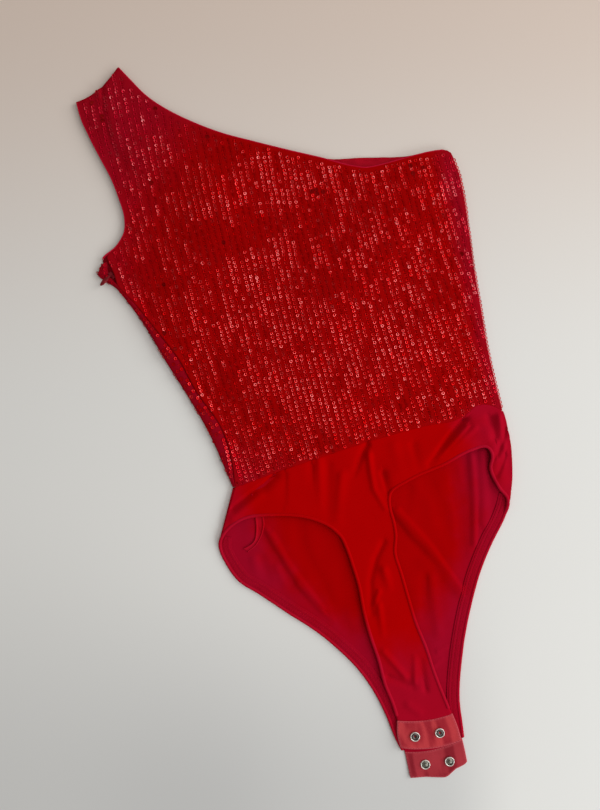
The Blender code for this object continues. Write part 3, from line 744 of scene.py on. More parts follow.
@dataclass(frozen=True)
class Jersey:
    """Fine cotton jersey: knitted ribs along the cloth, a soft pile, and painted light falloff: brighter in the
    middle and a darker, cooler crimson at the sides.
    """

    # the warm colour is the lit middle, and the cool one is painted shade at the sides
    warm: Triple = (0.485, 0.0003, 0.0006)
    painted_shade_tint: Triple = (0.42, 0.0034, 0.0200)
    shade: Triple = (0.28, 0.0004, 0.0012)
    rib_mm: float = 1.1
    roughness: float = 0.85
    middle: Triple = (0.0, -0.084, 0.004)
    reach: tuple[float, float] = (0.10, 0.15)  # where the painted shade tint starts and is full, from the middle

    def material(self, name: str) -> bpy.types.Material:
        """Make the material: ribs crossed by courses, mottled, and painted into a darker, cooler shade away from the
        middle.

        Args:
            name: the material's name.

        Returns:
            The new material.
        """
        kit = Kit(name)
        cloth, place = kit.cloth_place(), kit.place()
        ribs = kit.waves(cloth, self.rib_mm, "X", 0.6)
        courses = kit.waves(cloth, self.rib_mm * 0.8, "Y", 0.6)
        mottle = kit.noise(place, 45.0, 3.0)
        fuzz = kit.noise(place, 2600.0, 2.0)
        off = kit.distance(kit.mapped(place, (1.0, 0.8, 1.0)), self.middle)
        # painted light falloff: darker and cooler away from the middle
        body = kit.blend((off + 0.03 * (mottle - 0.5)).between(*self.reach), self.warm, self.painted_shade_tint)
        colour = kit.blend(0.10 * ribs + 0.22 * (1.0 - mottle) + 0.08 * fuzz, body, self.shade)
        return kit.finish({"Base Color": colour, "Roughness": self.roughness + 0.1 * fuzz},
                          {"Specular IOR Level": 0.0}, 0.5 * ribs + 0.25 * courses + 0.5 * fuzz, 0.00012)


@dataclass(frozen=True)
class BaseCloth:
    """The knitted net that carries the sequins: matt, dark between its threads, with a painted crimson shade towards
    the shoulder and the right fold.
    """

    thread: Triple = (0.40, 0.0002, 0.0004)
    gap: Triple = (0.275, 0.0001, 0.0002)
    painted_shade_tint: Triple = (0.36, 0.0030, 0.0150)
    pitch_mm: float = 0.9

    def material(self, name: str) -> bpy.types.Material:
        """Make the material: two crossed sets of threads.

        Args:
            name: the material's name.

        Returns:
            The new material.
        """
        kit = Kit(name)
        cloth = kit.cloth_place()
        threads = kit.math("MAXIMUM", *(kit.waves(cloth, self.pitch_mm, axis, 0.4) for axis in "XY"))
        mottle = kit.noise(kit.place(), 60.0)
        # painted shade: darker crimson towards the shoulder and the right fold
        body = kit.blend(kit.painted_shade_share(), self.thread, self.painted_shade_tint)
        colour = kit.blend(threads * (0.7 + 0.5 * mottle), self.gap, body)
        return kit.finish({"Base Color": colour, "Roughness": 0.7 + 0.15 * mottle},
                          {"Specular IOR Level": 0.02}, threads, 0.00015)


@dataclass(frozen=True)
class Lining:
    """Smooth warp-knit lining: fine wales and a satin gloss."""

    light: Triple = (0.46, 0.0014, 0.015)
    dark: Triple = (0.34, 0.0010, 0.010)

    def material(self, name: str) -> bpy.types.Material:
        """Make the material: fine wales, with soft long streaks.

        Args:
            name: the material's name.

        Returns:
            The new material.
        """
        kit = Kit(name)
        cloth = kit.cloth_place()
        wales = kit.waves(cloth, 0.7, "X", 0.2)
        streaks = kit.noise(kit.mapped(cloth, (1.0, 0.25, 1.0)), 150.0, 3.0)
        colour = kit.blend(0.3 * wales + 0.8 * (1.0 - streaks), self.light, self.dark)
        return kit.finish({"Base Color": colour, "Roughness": 0.5 + 0.2 * streaks},
                          {"Specular IOR Level": 0.05}, wales, 0.00006)


@dataclass(frozen=True)
class Twill:
    """Woven tape, paler where it is worn: slanting ribs, threads across them, painted shade in soft bands as from
    pressed folds, and mottled patches.
    """

    worn: Triple = (0.48, 0.040, 0.055)
    deep: Triple = (0.28, 0.010, 0.022)
    rim: Triple = (0.54, 0.075, 0.095)

    def material(self, name: str) -> bpy.types.Material:
        """Make the material: slanting twill lines over worn and deep tones that follow painted shade bands, and a
        paler rim.

        Args:
            name: the material's name.

        Returns:
            The new material.
        """
        kit = Kit(name)
        cloth, place = kit.cloth_place(), kit.place()
        slant = kit.waves(kit.mapped(cloth, (1.0, 1.0, 1.0), 0.9), 0.8, "X", 0.3)
        weft = kit.waves(cloth, 0.45, "Y", 0.2)
        # painted shade: soft bands across the tape, darker where pressed folds would lie in shade
        bands = kit.noise(kit.mapped(place, (1.0, 0.22, 1.0)), 95.0, 1.0)
        patches = kit.noise(place, 160.0, 3.0)
        depth = bands.between(0.40, 0.62) * 0.8 + 0.15 * slant + 0.25 * (patches - 0.5)
        colour = kit.blend(kit.tone(), kit.blend(depth, self.worn, self.deep), self.rim)
        return kit.finish({"Base Color": colour, "Roughness": 0.62 + 0.2 * patches},
                          {"Specular IOR Level": 0.1}, 0.7 * slant + 0.3 * weft, 0.00012)


@dataclass(frozen=True)
class Thread:
    """Sewing thread: a slightly glossy twist."""

    colour: Triple = (0.60, 0.008, 0.022)
    deep: Triple = (0.38, 0.002, 0.008)
    gloss: float = 0.03

    def material(self, name: str) -> bpy.types.Material:
        """Make the material: fine twist lines and a tone for each stitch.

        Args:
            name: the material's name.

        Returns:
            The new material.
        """
        kit = Kit(name)
        twist = kit.node("ShaderNodeTexWave", {"bands_direction": "DIAGONAL"},
                         {"Vector": kit.place(), "Scale": 700.0}, "Fac")
        colour = kit.blend(0.45 * twist + 0.4 * kit.tone(), self.colour, self.deep)
        return kit.finish({"Base Color": colour, "Roughness": 0.5 + 0.2 * twist},
                          {"Specular IOR Level": self.gloss}, twist, 0.00004)


@dataclass(frozen=True)
class Plated:
    """Plated or painted metal: fine scratches and duller patches."""

    colour: Triple
    worn: Triple
    roughness: float
    metallic: float = 1.0

    def material(self, name: str) -> bpy.types.Material:
        """Make the material: stretched noise for scratches, broad noise for wear.

        Args:
            name: the material's name.

        Returns:
            The new material.
        """
        kit = Kit(name)
        place = kit.place()
        scratches = kit.noise(kit.mapped(place, (1.0, 6.0, 1.0)), 900.0, 4.0)
        wear = kit.noise(place, 420.0, 3.0).between(0.4, 0.7)
        colour = kit.blend(wear * 0.6, self.colour, self.worn)
        return kit.finish({"Base Color": colour, "Roughness": self.roughness + 0.15 * wear + 0.1 * scratches},
                          {"Metallic": self.metallic}, scratches, 0.00001)


@dataclass(frozen=True)
class PaleFloor:
    """A plain pale matt surface with painted light and shade: darker and warmer beyond the shoulder, and a painted
    shadow in the bottom-left corner and along the garment's foot.
    """

    near: Triple = (0.82, 0.820, 0.795)
    # far: painted light falloff, darker and warmer beyond the shoulder; dim: the painted shadow's colour
    far: Triple = (0.72, 0.600, 0.520)
    painted_shadow_colour: Triple = (0.40, 0.405, 0.41)
    lengthwise: Triple = (0.26, 0.965, 0.0)
    sideways: Triple = (0.956, -0.292, 0.0)
    # centre of the painted shadow in the bottom-left corner
    corner: Triple = (-0.42, -0.30, 0.0)
    painted_warm_light_reach: tuple[float, float] = (-0.02, 0.46)  # where the painted warm falloff starts and is full, lengthwise

    def material(self, name: str) -> bpy.types.Material:
        """Make the material: a painted warm light falloff that grows along the garment and a painted shadow at the
        corner and the foot, under a faint mottle and a fine grain.

        Args:
            name: the material's name.

        Returns:
            The new material.
        """
        kit = Kit(name)
        place = kit.place()
        mottle = kit.noise(place, 3.0, 3.0)
        grain = kit.noise(place, 700.0, 3.0)
        along, aside = kit.along(place, self.lengthwise), kit.along(place, self.sideways)
        # painted shadow in the bottom-left corner and along the garment's foot
        foot = (1.0 - along.between(-0.42, -0.12)) * aside.between(-0.32, -0.08) * (1.0 - aside.between(0.10, 0.19))
        painted_shadow_share = 0.36 * (1.0 - kit.distance(place, self.corner).between(0.0, 0.34)) + 0.40 * foot
        # painted light falloff: darker and warmer along the garment
        colour = kit.blend(along.between(*self.painted_warm_light_reach) + 0.05 * (mottle - 0.5), self.near, self.far)
        colour = kit.blend(0.04 * grain + painted_shadow_share, colour, self.painted_shadow_colour)
        return kit.finish({"Base Color": colour, "Roughness": 0.6 + 0.2 * mottle},
                          {"Specular IOR Level": 0.2}, grain, 0.00003)


class Skin(Enum):
    """The finishes of the garment's pieces, each with its record slot and what makes it."""

    SEQUINS = ("sequin_cloth", SequinFilm())
    NET = ("sequin_cloth", BaseCloth())
    JERSEY = ("jersey", Jersey())
    # a darker copy of the jersey: painted shade on the back brief and the hems
    JERSEY_INSIDE_SHADED = ("jersey", Jersey(warm=(0.425, 0.0003, 0.0008), painted_shade_tint=(0.38, 0.0036, 0.0230), reach=(0.08, 0.13)))
    # a lighter copy of the jersey: painted sheen on rolled edges and ridges
    ROLLED_SHEEN = ("jersey", Jersey(warm=(0.50, 0.0010, 0.0020), painted_shade_tint=(0.47, 0.006, 0.028), reach=(0.08, 0.13)))
    LINING = ("lining", Lining())
    BINDING = ("lining", Lining(light=(0.58, 0.004, 0.034), dark=(0.42, 0.0025, 0.020)))
    # a darker copy of the net: painted shade on the back bodice
    NET_SHADED = ("sequin_cloth", BaseCloth(thread=(0.31, 0.0015, 0.0100), gap=(0.21, 0.0008, 0.0060)))
    TWILL = ("twill_tape", Twill(worn=(0.57, 0.048, 0.057), deep=(0.33, 0.011, 0.024)))
    # a darker copy of the tape: painted shade on the lower tape
    TWILL_SHADED = ("twill_tape", Twill(worn=(0.42, 0.032, 0.046), deep=(0.25, 0.009, 0.020)))
    ZIP_CLOTH = ("zip_cloth", Jersey(warm=(0.17, 0.001, 0.003), painted_shade_tint=(0.15, 0.001, 0.006), rib_mm=0.6))
    THREAD = ("jersey", Thread())
    # dark thread, darkened further as painted shade in the cups' holes
    TIE_SHADED = ("sequin_cloth", Thread((0.24, 0.0002, 0.0004), (0.15, 0.0001, 0.0002), 0.0))
    TAPE_THREAD = ("twill_tape", Thread((0.26, 0.008, 0.026), (0.16, 0.004, 0.014)))
    CHROME = ("snap_metal", Plated((0.75, 0.71, 0.66), (0.52, 0.48, 0.44), 0.30))
    GUNMETAL = ("snap_metal", Plated((0.10, 0.085, 0.080), (0.22, 0.18, 0.17), 0.34))
    PEWTER = ("snap_metal", Plated((0.24, 0.24, 0.20), (0.14, 0.12, 0.11), 0.30))
    PAINTED = ("zip_metal", Plated((0.20, 0.004, 0.010), (0.34, 0.02, 0.03), 0.34, 0.6))
    COIL = ("zip_metal", Plated((0.22, 0.003, 0.010), (0.30, 0.006, 0.016), 0.42, 0.0))

    @property
    def slot(self) -> str:
        """The record's material slot."""
        return self.value[0]

    def material(self) -> bpy.types.Material:
        """The finish's material, made once."""
        name = f"finished_{self.name.lower()}"
        return bpy.data.materials.get(name) or self.value[1].material(name)


# ---- pieces

def add_piece(name: str, mesh: bpy.types.Mesh, skin: Skin, *replaced: str) -> bpy.types.Object:
    """Add a piece that rides on the garment.

    Args:
        name: the piece's name.
        mesh: its mesh, in place.
        skin: its finish.
        replaced: CAD nodes that it stands for.

    Returns:
        The new object.
    """
    thing = bpy.data.objects.new(name, mesh)
    bpy.context.scene.collection.objects.link(thing)
    mesh.materials.append(skin.material())
    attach(thing, GARMENT)
    if replaced:
        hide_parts(*replaced)
    LOG.info("%s: %d faces", name, len(mesh.polygons))
    return thing


def add_cloth(name: str, grids: Sequence[Array], wall: float, skin: Skin, *replaced: str) -> bpy.types.Object:
    """Add a piece of cloth: an open surface with a wall about it.

    Args:
        name: the piece's name.
        grids: grids of points on the middle of its wall.
        wall: the wall's thickness.
        skin: its finish.
        replaced: CAD nodes that it stands for.

    Returns:
        The new object.
    """
    thing = add_piece(name, cloth_mesh(name, grids), skin, *replaced)
    solidify = thing.modifiers.new("wall", "SOLIDIFY")
    solidify.thickness = wall * MM
    solidify.offset = 0.0
    solidify.use_even_offset = False
    return thing


def turned_edge(edge: Array, outwards: Array, reach: float, depth: Array | float) -> Array:
    """Carry an edge out and down: edge + out r sin a, z - depth (1 - cos a), a to a right angle.

    Args:
        edge: the edge's points in space.
        outwards: unit plan directions out of it.
        reach: how far out it goes.
        depth: how far down, for all points or for each.

    Returns:
        The grid of points, a row for each point of the edge.
    """
    angle = np.linspace(0.0, math.pi / 2, TURN_STEPS + 1)[None, :]
    depths = np.broadcast_to(np.asarray(depth, float), (len(edge),))[:, None]
    columns = np.repeat(edge[:, None, :], TURN_STEPS + 1, axis=1)
    columns[:, :, :2] += outwards[:, None, :] * (reach * np.sin(angle))[:, :, None]
    columns[:, :, 2] -= depths * (1.0 - np.cos(angle))
    return columns


def rolled_edge(name: str, path: Array, out: Array, height: Array, radius: float, flat: float) -> bpy.types.Mesh:
    """Closed tube along an edge, whose section is the ellipse centre + r (cos b n + flat sin b z).

    Args:
        name: the mesh's name.
        path: plan points of its middle.
        out: unit plan directions across it.
        height: heights of its middle.
        radius: half its width, which closes to nearly a point at both ends.
        flat: its height over its width.

    Returns:
        The mesh.
    """
    along = travelled(path)
    left = np.clip(1.0 - np.minimum(along, along[-1] - along) / radius, 0.0, 1.0)
    taper = np.sqrt(np.clip(1.0 - left**2, 0.0004, 1.0))
    angle = np.linspace(0.0, 2 * math.pi, 13)
    reach = radius * taper[:, None] * np.cos(angle)[None, :]
    rise = radius * flat * taper[:, None] * np.sin(angle)[None, :]
    plan = path[:, None, :] + out[:, None, :] * reach[:, :, None]
    return cloth_mesh(name, [np.dstack([plan, height[:, None] + rise])], True)


def surface_normals(height: Heights, x: Array, y: Array) -> Array:
    """Unit normals of a height function of the plan: (-dz/dx, -dz/dy, 1) made unit.

    Args:
        height: the function.
        x: where they are wanted.
        y: where they are wanted.

    Returns:
        One normal for each place.
    """
    slope_x = (height(x + SLOPE_STEP, y) - height(x - SLOPE_STEP, y)) / (2 * SLOPE_STEP)
    slope_y = (height(x, y + SLOPE_STEP) - height(x, y - SLOPE_STEP)) / (2 * SLOPE_STEP)
    return unit(np.stack([-slope_x, -slope_y, np.ones_like(slope_x)], axis=-1))


@dataclass(frozen=True)
class Stitching:
    """Rows of thread: each stitch a short bowed tube."""

    length: float = 2.3
    pitch: float = 2.9
    radius: float = 0.26
    lift: float = 0.18
    sides: int = 5

    def template(self) -> Template:
        """One stitch: a tube that rises from the cloth and goes back into it, thin at its ends.

        Returns:
            The stitch, along X.
        """
        share = np.linspace(-1.0, 1.0, 5)
        rise = self.lift * (1.0 - share**2) - 0.5 * share**4 * self.lift
        path = np.stack([share * self.length / 2, np.zeros(5), rise], axis=1)
        return Template.tube(path, self.radius * (1.0 - 0.75 * share**4), self.sides)

    def add(self, name: str, lines: Sequence[Array], height: Heights, skin: Skin, seed: int) -> bpy.types.Object:
        """Add stitches along lines.

        Args:
            name: the piece's name.
            lines: the lines' plan points.
            height: the height function that they lie on.
            skin: the thread's finish.
            seed: start of the chance numbers for their tones.

        Returns:
            The new object.
        """
        found = [even_points(line, self.pitch, self.pitch / 2) for line in lines]
        plan, heading = (np.concatenate(parts) for parts in zip(*found))
        tones = np.random.default_rng(seed).uniform(0.0, 1.0, len(plan))
        axes = facing_axes(surface_normals(height, *plan.T), in_space(heading))
        mesh = self.template().repeated(name, in_space(plan, height(*plan.T)), axes, tones)
        mesh.shade_smooth()
        return add_piece(name, mesh, skin)


# ---- sequins

@dataclass(frozen=True)
class SequinRows:
    """Rows of cup sequins sewn through their centres, a little shingled, as they lie after handling."""

    outer_radius: float = 1.95
    hole_radius: float = 0.85
    pitch: float = 4.1
    row_spacing: float = 6.0
    overrun: float = 40.0          # how far beyond the cloth's box rows still start
    row_slope: float = 0.065  # slope of the rows in the middle of the garment
    fan: float = 0.08  # how much less it is at fan_reach from there
    fan_middle: float = -10.0
    fan_reach: float = 165.0
    row_bend: float = 0.00016  # bend of every row to the right, per millimetre
    row_start: float = 100.0  # where the rows cross their starting x
    scatter: float = 0.2  # how far a cup strays from its row
    shingle: float = 0.06  # lean along the row, in radians
    run_length: float = 3.0  # how many cups in a row lie alike
    turned_lean: float = 0.135  # lean of cups turned to the light
    resting_lean: float = -0.13  # lean of the others
    own_lean: float = 0.060
    side_lean: float = 0.04
    brilliant: float = 0.05  # share of cups whose film is still like new
    blackened: float = 0.0015  # share of cups given the black colour at random
    gather: float = 0.00062  # lean towards the middle of the garment, in radians per millimetre
    middle: tuple[float, float] = (-32.0, 11.0)
    strap_gather: float = 0.0010  # the same along the strap, more towards the shoulder
    strap_start: float = 225.0
    light_side: tuple[float, float] = (0.989, -0.147)

    def cup(self) -> Template:
        """A cup: nearly flat about its hole, turned up at its rim, with a thin back."""
        r, h = self.outer_radius, self.hole_radius
        return Template.ring([(h, 0.02), (0.86 * r, 0.06), (r, 0.20), (0.75 * r, -0.05)], 8)

    def flat_cup(self) -> Template:
        """A plainer cup for the side that the garment lies on."""
        r, h = self.outer_radius, self.hole_radius
        return Template.ring([(h, 0.0), (0.7 * r, 0.10), (r, 0.28)], 5)

    def tie_shaded(self) -> Template:
        """The thread that holds a cup: it comes up through the hole and goes over the rim along the row."""
        path = np.array([(-0.25, 0.0, -0.25), (0.15, 0.0, 0.16), (1.1, 0.0, 0.30), (2.15, 0.0, 0.0)])
        return Template.tube(path, np.array([0.42, 0.40, 0.22, 0.16]), 4)

    def row_places(self, plan: Array, rng: np.random.Generator) -> tuple[Array, Array]:
        """Find the cups' places over the box of a piece of cloth.

        A row starts from x0 and runs along y by x = x0 + m (y - y0) + c (y - y0)^2, where m is greatest in
        the middle of the garment and c bends every row a little to the right towards the shoulder.

        Args:
            plan: the cloth's plan.
            rng: the source of chance.

        Returns:
            Plan places of the cups, and the headings of their rows there.
        """
        low, high = plan.reshape(-1, 2).min(0), plan.reshape(-1, 2).max(0)
        starts = np.arange(low[0] - self.overrun, high[0] + self.overrun, self.row_spacing)
        fanned = np.clip(np.abs(starts - self.fan_middle) / self.fan_reach, 0.0, 1.2)
        slope = (self.row_slope - self.fan * fanned)[:, None]
        count = int((high[1] - low[1]) / self.pitch)
        y = low[1] + (np.arange(count)[None, :] + rng.uniform(0.0, 1.0, len(starts))[:, None]) * self.pitch
        phase = rng.uniform(0.0, 6.3, (2, len(starts), 1))
        wander = 0.45 * np.sin(y / 21.0 + phase[0]) + 0.22 * np.sin(y / 7.3 + phase[1])
        up = y - self.row_start
        x = starts[:, None] + slope * up + self.row_bend * up**2 + wander
        heading = np.stack([slope + 2 * self.row_bend * up, np.ones_like(up)], axis=-1)
        places = np.stack([x, y], axis=-1) + rng.normal(0.0, self.scatter, (*x.shape, 2))
        return places.reshape(-1, 2), heading.reshape(-1, 2)

    def runs(self, count: int, rng: np.random.Generator) -> Array:
        """Smoothed noise along the rows: neighbours in a row lie alike.

        Args:
            count: how many cups there are.
            rng: the source of chance.

        Returns:
            One number of unit spread for each.
        """
        kernel = np.exp(-np.linspace(-2.0, 2.0, int(self.run_length * 2) + 1) ** 2)
        noise = np.convolve(rng.normal(0.0, 1.0, count + len(kernel)), kernel, mode="same")
        return (noise / noise.std())[:count]

    def laid(self, places: Array, normals: Array, heading: Array, nap: Array | float,
             rng: np.random.Generator, worn: Array | float = 0.0) -> tuple[Array, Array]:
        """Axes and tones of cups: the cloth's normal, shingled along the row, leaning with runs and patches; the
        tone is painted brighter on cups turned to the light.

        Args:
            places: the cups' places.
            normals: the cloth's unit normals.
            heading: the rows' directions in space.
            nap: from 1, brushed towards the light, to -1, away from it.
            rng: the source of chance.
            worn: further share of cups given the black colour, as painted shade.

        Returns:
            The axes of each cup and its tone.
        """
        count = len(normals)
        run = self.runs(count, rng)
        light = np.array([*self.light_side, 0.0])
        cross = np.cross(heading, [0.0, 0.0, 1.0])
        chance = 0.45 + 0.9 * run + 1.7 * nap + rng.normal(0.0, 0.3, count)
        turned_share = 1.0 / (1.0 + np.exp(-chance / 0.25))
        lean = self.resting_lean + (self.turned_lean - self.resting_lean) * turned_share
        lean += rng.normal(0.0, self.own_lean, count)
        side = self.side_lean * self.runs(count, rng) + rng.normal(0.0, self.own_lean, count)
        tipped = normals - heading * (self.shingle + rng.normal(0.0, self.own_lean * 0.6, count))[:, None]
        tipped = tipped + light * lean[:, None] + cross * side[:, None]
        tipped[:, :2] -= self.gather * (places[:, :2] - self.middle)
        tipped[:, 1] -= self.strap_gather * np.maximum(places[:, 1] - self.strap_start, 0.0)
        brilliant = 0.4 * (rng.random(count) < self.brilliant)
        # painted highlight: the tone, and so the colour, rises with the share turned to the light
        tones = np.clip(0.15 + 0.43 * turned_share + brilliant + rng.normal(0.0, 0.12, count), 0.05, 1.0)
        # black cups: some at random, and the given share as painted shade
        tones[rng.random(count) < self.blackened + worn] = 0.0
        return facing_axes(tipped, heading), tones


# ---- bodice

FRONT_LEVEL = 5.0
BACK_LEVEL = 1.15
BACK_TOP = 2.0  # middle of what lies on the back panels
FLOOR_CLEAR = 0.45  # middle of the wall where a side fold ends

# side_x, side_y: the armhole edge, then the left fold; seam_x: the front's own left edge; slit: opening
# beside it at the slider; front_x, front_y, back_x, back_y: each panel's neckline, then the right fold.
BODICE = np.array([
    (-157, 366, -157, 0.3, -107, 387, -107, 387),
    (-157.5, 350, -157.5, 0.3, -99.5, 372, -98, 369.5),
    (-155, 330, -155, 0.3, -87, 349, -84, 345),
    (-150.5, 305, -150.5, 0.3, -62, 321.5, -58, 316),
    (-146, 282, -146, 0.3, -28, 294, -25, 288),
    (-144.5, 262, -144.5, 0.3, 2, 275.5, 5, 269.5),
    (-145, 240, -145, 0.3, 32, 257.5, 35, 253),
    (-149, 228, -149, 0.3, 60, 241.3, 66, 239),
    (-160, 217, -160, 0.3, 87.3, 224.7, 100, 230),
    (-179, 207, -173, 0.3, 118, 216.8, 140, 219),
    (-182, 201, -172.5, 2.5, 140, 216.2, 158, 215.2),
    (-187, 195, -171.5, 5, 168, 214.8, 172, 215),
    (-183, 188, -171, 4.5, 183.3, 211, 183.3, 211),
    (-175, 179, -171, 0.3, 187, 195, 187, 195),
    (-165, 156.5, -160, 0.3, 186.3, 168, 186.3, 168),
    (-155, 126, -147.4, 0.3, 180.5, 128, 180.5, 128),
    (-147, 92, -134.4, 0.3, 174, 88, 174, 88),
    (-137, 55, -126.7, 0.3, 169, 50, 169, 50),
    (-126.5, 10, -113, 0.3, 163.5, 5, 163.5, 5),
    (-122.5, -22, -113, 0.3, 161, -30, 161, -30),
    (-120, -47.7, -117.5, 0.3, 160, -54.5, 160, -54.5),
])
LEFT_FOLD_FIRST = 9
RIGHT_FOLD_FIRST = 12
WAIST = np.array([(-120, -48.4), (-60, -45.5), (15, -43.5), (80, -45), (118, -48),
                  (139, -40.8), (151, -45.5), (160, -54.5)])
# lower_x, lower_y, upper_x, upper_y of the facing inside the back's neckline, from left to right
NECK_FACING = np.array([
    (36, 226, 40, 250), (60, 212, 66.3, 238.6), (95, 203, 100.2, 229.6),
    (136, 192, 140.2, 218.6), (176, 192, 172, 214.3)])
FRONT_FOLDS = folds(
    (22, 22, 1.6, 1.6, -120, 330, -60, 250), (30, 30, 2.2, 2.2, -40, 240, -130, 120),
    (34, 34, 2.4, 2.4, 140, 180, 20, 90), (26, 26, 1.6, 1.6, 150, 60, 20, 10),
    (24, 24, 1.4, 1.4, -90, 60, 0, -20), (16, 5, 1.4, 0.4, -132, 372, -132, 330, -122, 290),
    (3.5, 6, 1, 1.6, -168, 176, -140, 112, -124, 55, -110, 0, -112, -40),
    (17, 17, 2.6, 4, 40, -80, 89, -80, 128, -72), (8, 8, 3.2, 2.6, 142, -72, 138, -118))
CREASE_GAIN = 2.3
BACK_GAIN = 2.2
FOLD_LIMIT = 3.2  # the most that a fold of the back brief can stand up
FRONT_CREASES = folds(
    (3.5, 2.2, -0.9, -0.2, -127, 378, -134, 346, -135.5, 322, -135, 299),
    (6, 1.8, -1.9, -1.5, -78, -48, -90, -54, -107, -59.5, -126, -67), (5, 5, 0.7, 0.7, -98, -62, -128, -76),
    (2.5, 8, -0.5, -0.2, -66, -50, -75, -78), (2, 5, -0.5, 0, -38, -50, -45, -74),
    (4, 3.5, 0.7, 0.1, -30, -47, -41, -88), (5, 5, -0.6, -0.2, -23, -55, -39, -107),
    (5, 4, 0.8, 0.2, -13, -68, -29, -108), (2.6, 4, -1.5, -0.3, 21, -46, 10, -58, -1, -72),
    (3, 2.6, 1.3, 0.5, 19, -56, 16, -74, 14, -90, 19, -112), (4, 3, -1.1, -0.5, 27, -78, 26, -98),
    (5, 4, -0.6, -0.2, 64, -60, 62, -82), (6, 6, 0.5, 0.2, 46, -56, 44, -78),
    (4.5, 3, -2.2, -0.5, 120, -51, 96, -66, 74, -82), (2.6, 4, 1.3, 0.3, 120, -57, 84, -79),
    (3, 3, 0.7, 0.2, 127, -61, 101, -74), (3.5, 5, -1.3, -1.5, 146, -57, 144, -76),
    (3, 3, 1.2, 0.5, 154, -58, 149, -91, 144, -104), (2.2, 4, -1, -1, 157, -73, 149, -84, 141, -94),
    (1.8, 4, -1, -0.6, 149, -96, 142, -106, 135, -114),
    (3, 3.5, -0.8, -0.5, 8, -144, -4, -157, -16, -177, -24, -208), (4, 4, 1.1, 0.3, 0, -170, 0, -188),
    (2.2, 2.2, 0.8, 0.3, -11, -189, -22, -204), (3, 3, 0.9, 0.2, -15, -202, -20, -232),
    (3, 3, 0.7, 1, -24, -248, -11, -277), (3.5, 3, -0.9, -0.5, -27, -274, -7, -291),
    (2.5, 2.5, 0.3, 0.9, 4, -262, -3, -286), (3, 3, -0.4, -0.9, 9, -268, 5, -297),
    (4, 4, 0.6, 0.4, -16, -306, -8, -316))
# Patches of painted shade, where cups are given the black colour.
SHADOW_PATCHES = folds(
    (4, 4, 1, 1, -142, 361, -139, 342), (5, 5, 1, 1, 140, 204, 152, 199), (4, 4, 1, 1, 44, 212, 48, 208),
    (6, 6, 1, 1, -152, 137, -146, 118), (4, 4, 1, 1, -138, 103, -136, 93))
# Patches where the sequins lie brushed away from the light, below 0, or towards it; the cups' tone follows, so they
# are painted darker or brighter too.
NAP = folds(
    (16, 16, -1.2, -1, -1, 289, -32, 282, -67, 300, -90, 330), (12, 12, -0.9, -0.9, -46, 261, -20, 276),
    (8, 8, -1, -0.8, -67, 278, -92, 265, -125, 259), (7, 7, -0.9, -0.7, -92, 265, -126, 239),
    (12, 12, -1.2, -1.1, -90, 220, -60, 195, -46, 193, 41, 188), (9, 9, -0.8, -0.8, 50, 185, 17, 179),
    (9, 9, -1, -1, -92, 197, -73, 175, -27, 187), (8, 8, -0.9, -0.8, -83, 168, -86, 122),
    (13, 13, -1, -0.9, -152, 189, -128, 166), (10, 10, -0.9, -0.8, 121, 142, 73, 120, 29, 113),
    (8, 8, -0.8, -0.8, 131, 176, 154, 148), (10, 10, -0.9, -0.8, 90, 178, 50, 148),
    (7, 7, -0.8, -0.7, 134, 149, 142, 109), (6, 6, -0.8, -0.8, -11, 68, 6, 57),
    (8, 8, -0.8, -0.8, -133, 131, -128, 98), (10, 10, -0.7, -0.6, -110, 72, -94, 36, -78, 88),
    (12, 5, -0.9, -0.9, -143, 330, -146, 300, -141, 250), (5, 3, -1, -0.6, -131, 374, -138, 350, -142, 318),
    (2.6, 2.6, 1.3, 1.3, -135, 341, -132, 288), (2.6, 2.6, 1.2, 1.2, -119, 365, -113, 337),
    (2.6, 2.6, 0.8, 0.8, -124, 364, -121, 346), (2.6, 2.6, 1, 1, -98, 361, -97, 349),
    (2.6, 2.6, 1, 1, -98, 330, -96, 317), (2.6, 2.6, 1.2, 1.2, -87, 307, -86, 281),
    (2.6, 2.6, 1.2, 1.2, -98, 297, -97, 264), (2.6, 2.6, 1, 1, -121, 300, -120, 275),
    (2.6, 2.6, 0.9, 0.9, -110, 308, -110, 298), (2.6, 2.6, 1.1, 1.1, -110, 274, -109, 255),
    (2.6, 2.6, 1.2, 1.2, -123, 260, -122, 244), (6, 6, -0.7, -0.5, -112, 20, -108, -30),
    (8, 8, -0.4, -0.4, 20, 0, 60, -20, 110, 0), (14, 14, 0.7, 0.7, -87, 300, -74, 291),
    (9, 9, 0.9, 0.9, -73, 259, -40, 265), (10, 10, 0.9, 0.9, -89, 243, -57, 244),
    (12, 12, 0.8, 0.8, -34, 164, -6, 171), (8, 8, 0.6, 0.6, -116, 188, -77, 177),
    (14, 14, 0.8, 0.8, 0, 258, 17, 211), (10, 10, 0.5, 0.5, 163, 176, 181, 166),
    (14, 14, 0.7, 0.7, -79, 104, -13, 115), (10, 10, 0.6, 0.6, 1, 90, 6, 57),
    (22, 22, 0.7, 0.7, -32, 17, 10, -17), (24, 24, 0.4, 0.4, -50, 45, 0, 38),
    (12, 16, -0.3, -0.3, 170, 195, 155, 90), (18, 18, 0.6, 0.6, 68, 38, 82, 13),
    (12, 12, 0.5, 0.5, 128, -22, 136, -30), (12, 12, 0.6, 0.6, -103, -9, -90, -34))


def front_height(x: Array, y: Array) -> Array:
    """Middle of the front panels' wall over the plan: its broad folds and its creases, with slight ripples."""
    return (FRONT_LEVEL + relief(x, y, FRONT_FOLDS) + CREASE_GAIN * relief(x, y, FRONT_CREASES)
            + 0.12 * ripple(x, y, 34.0, 3))


def waist_y(x: Array) -> Array:
    """Where the waist seam lies along Y, at x."""
    rows = fine_rows(WAIST, 2.0)
    return np.interp(x, rows[:, 0], rows[:, 1])


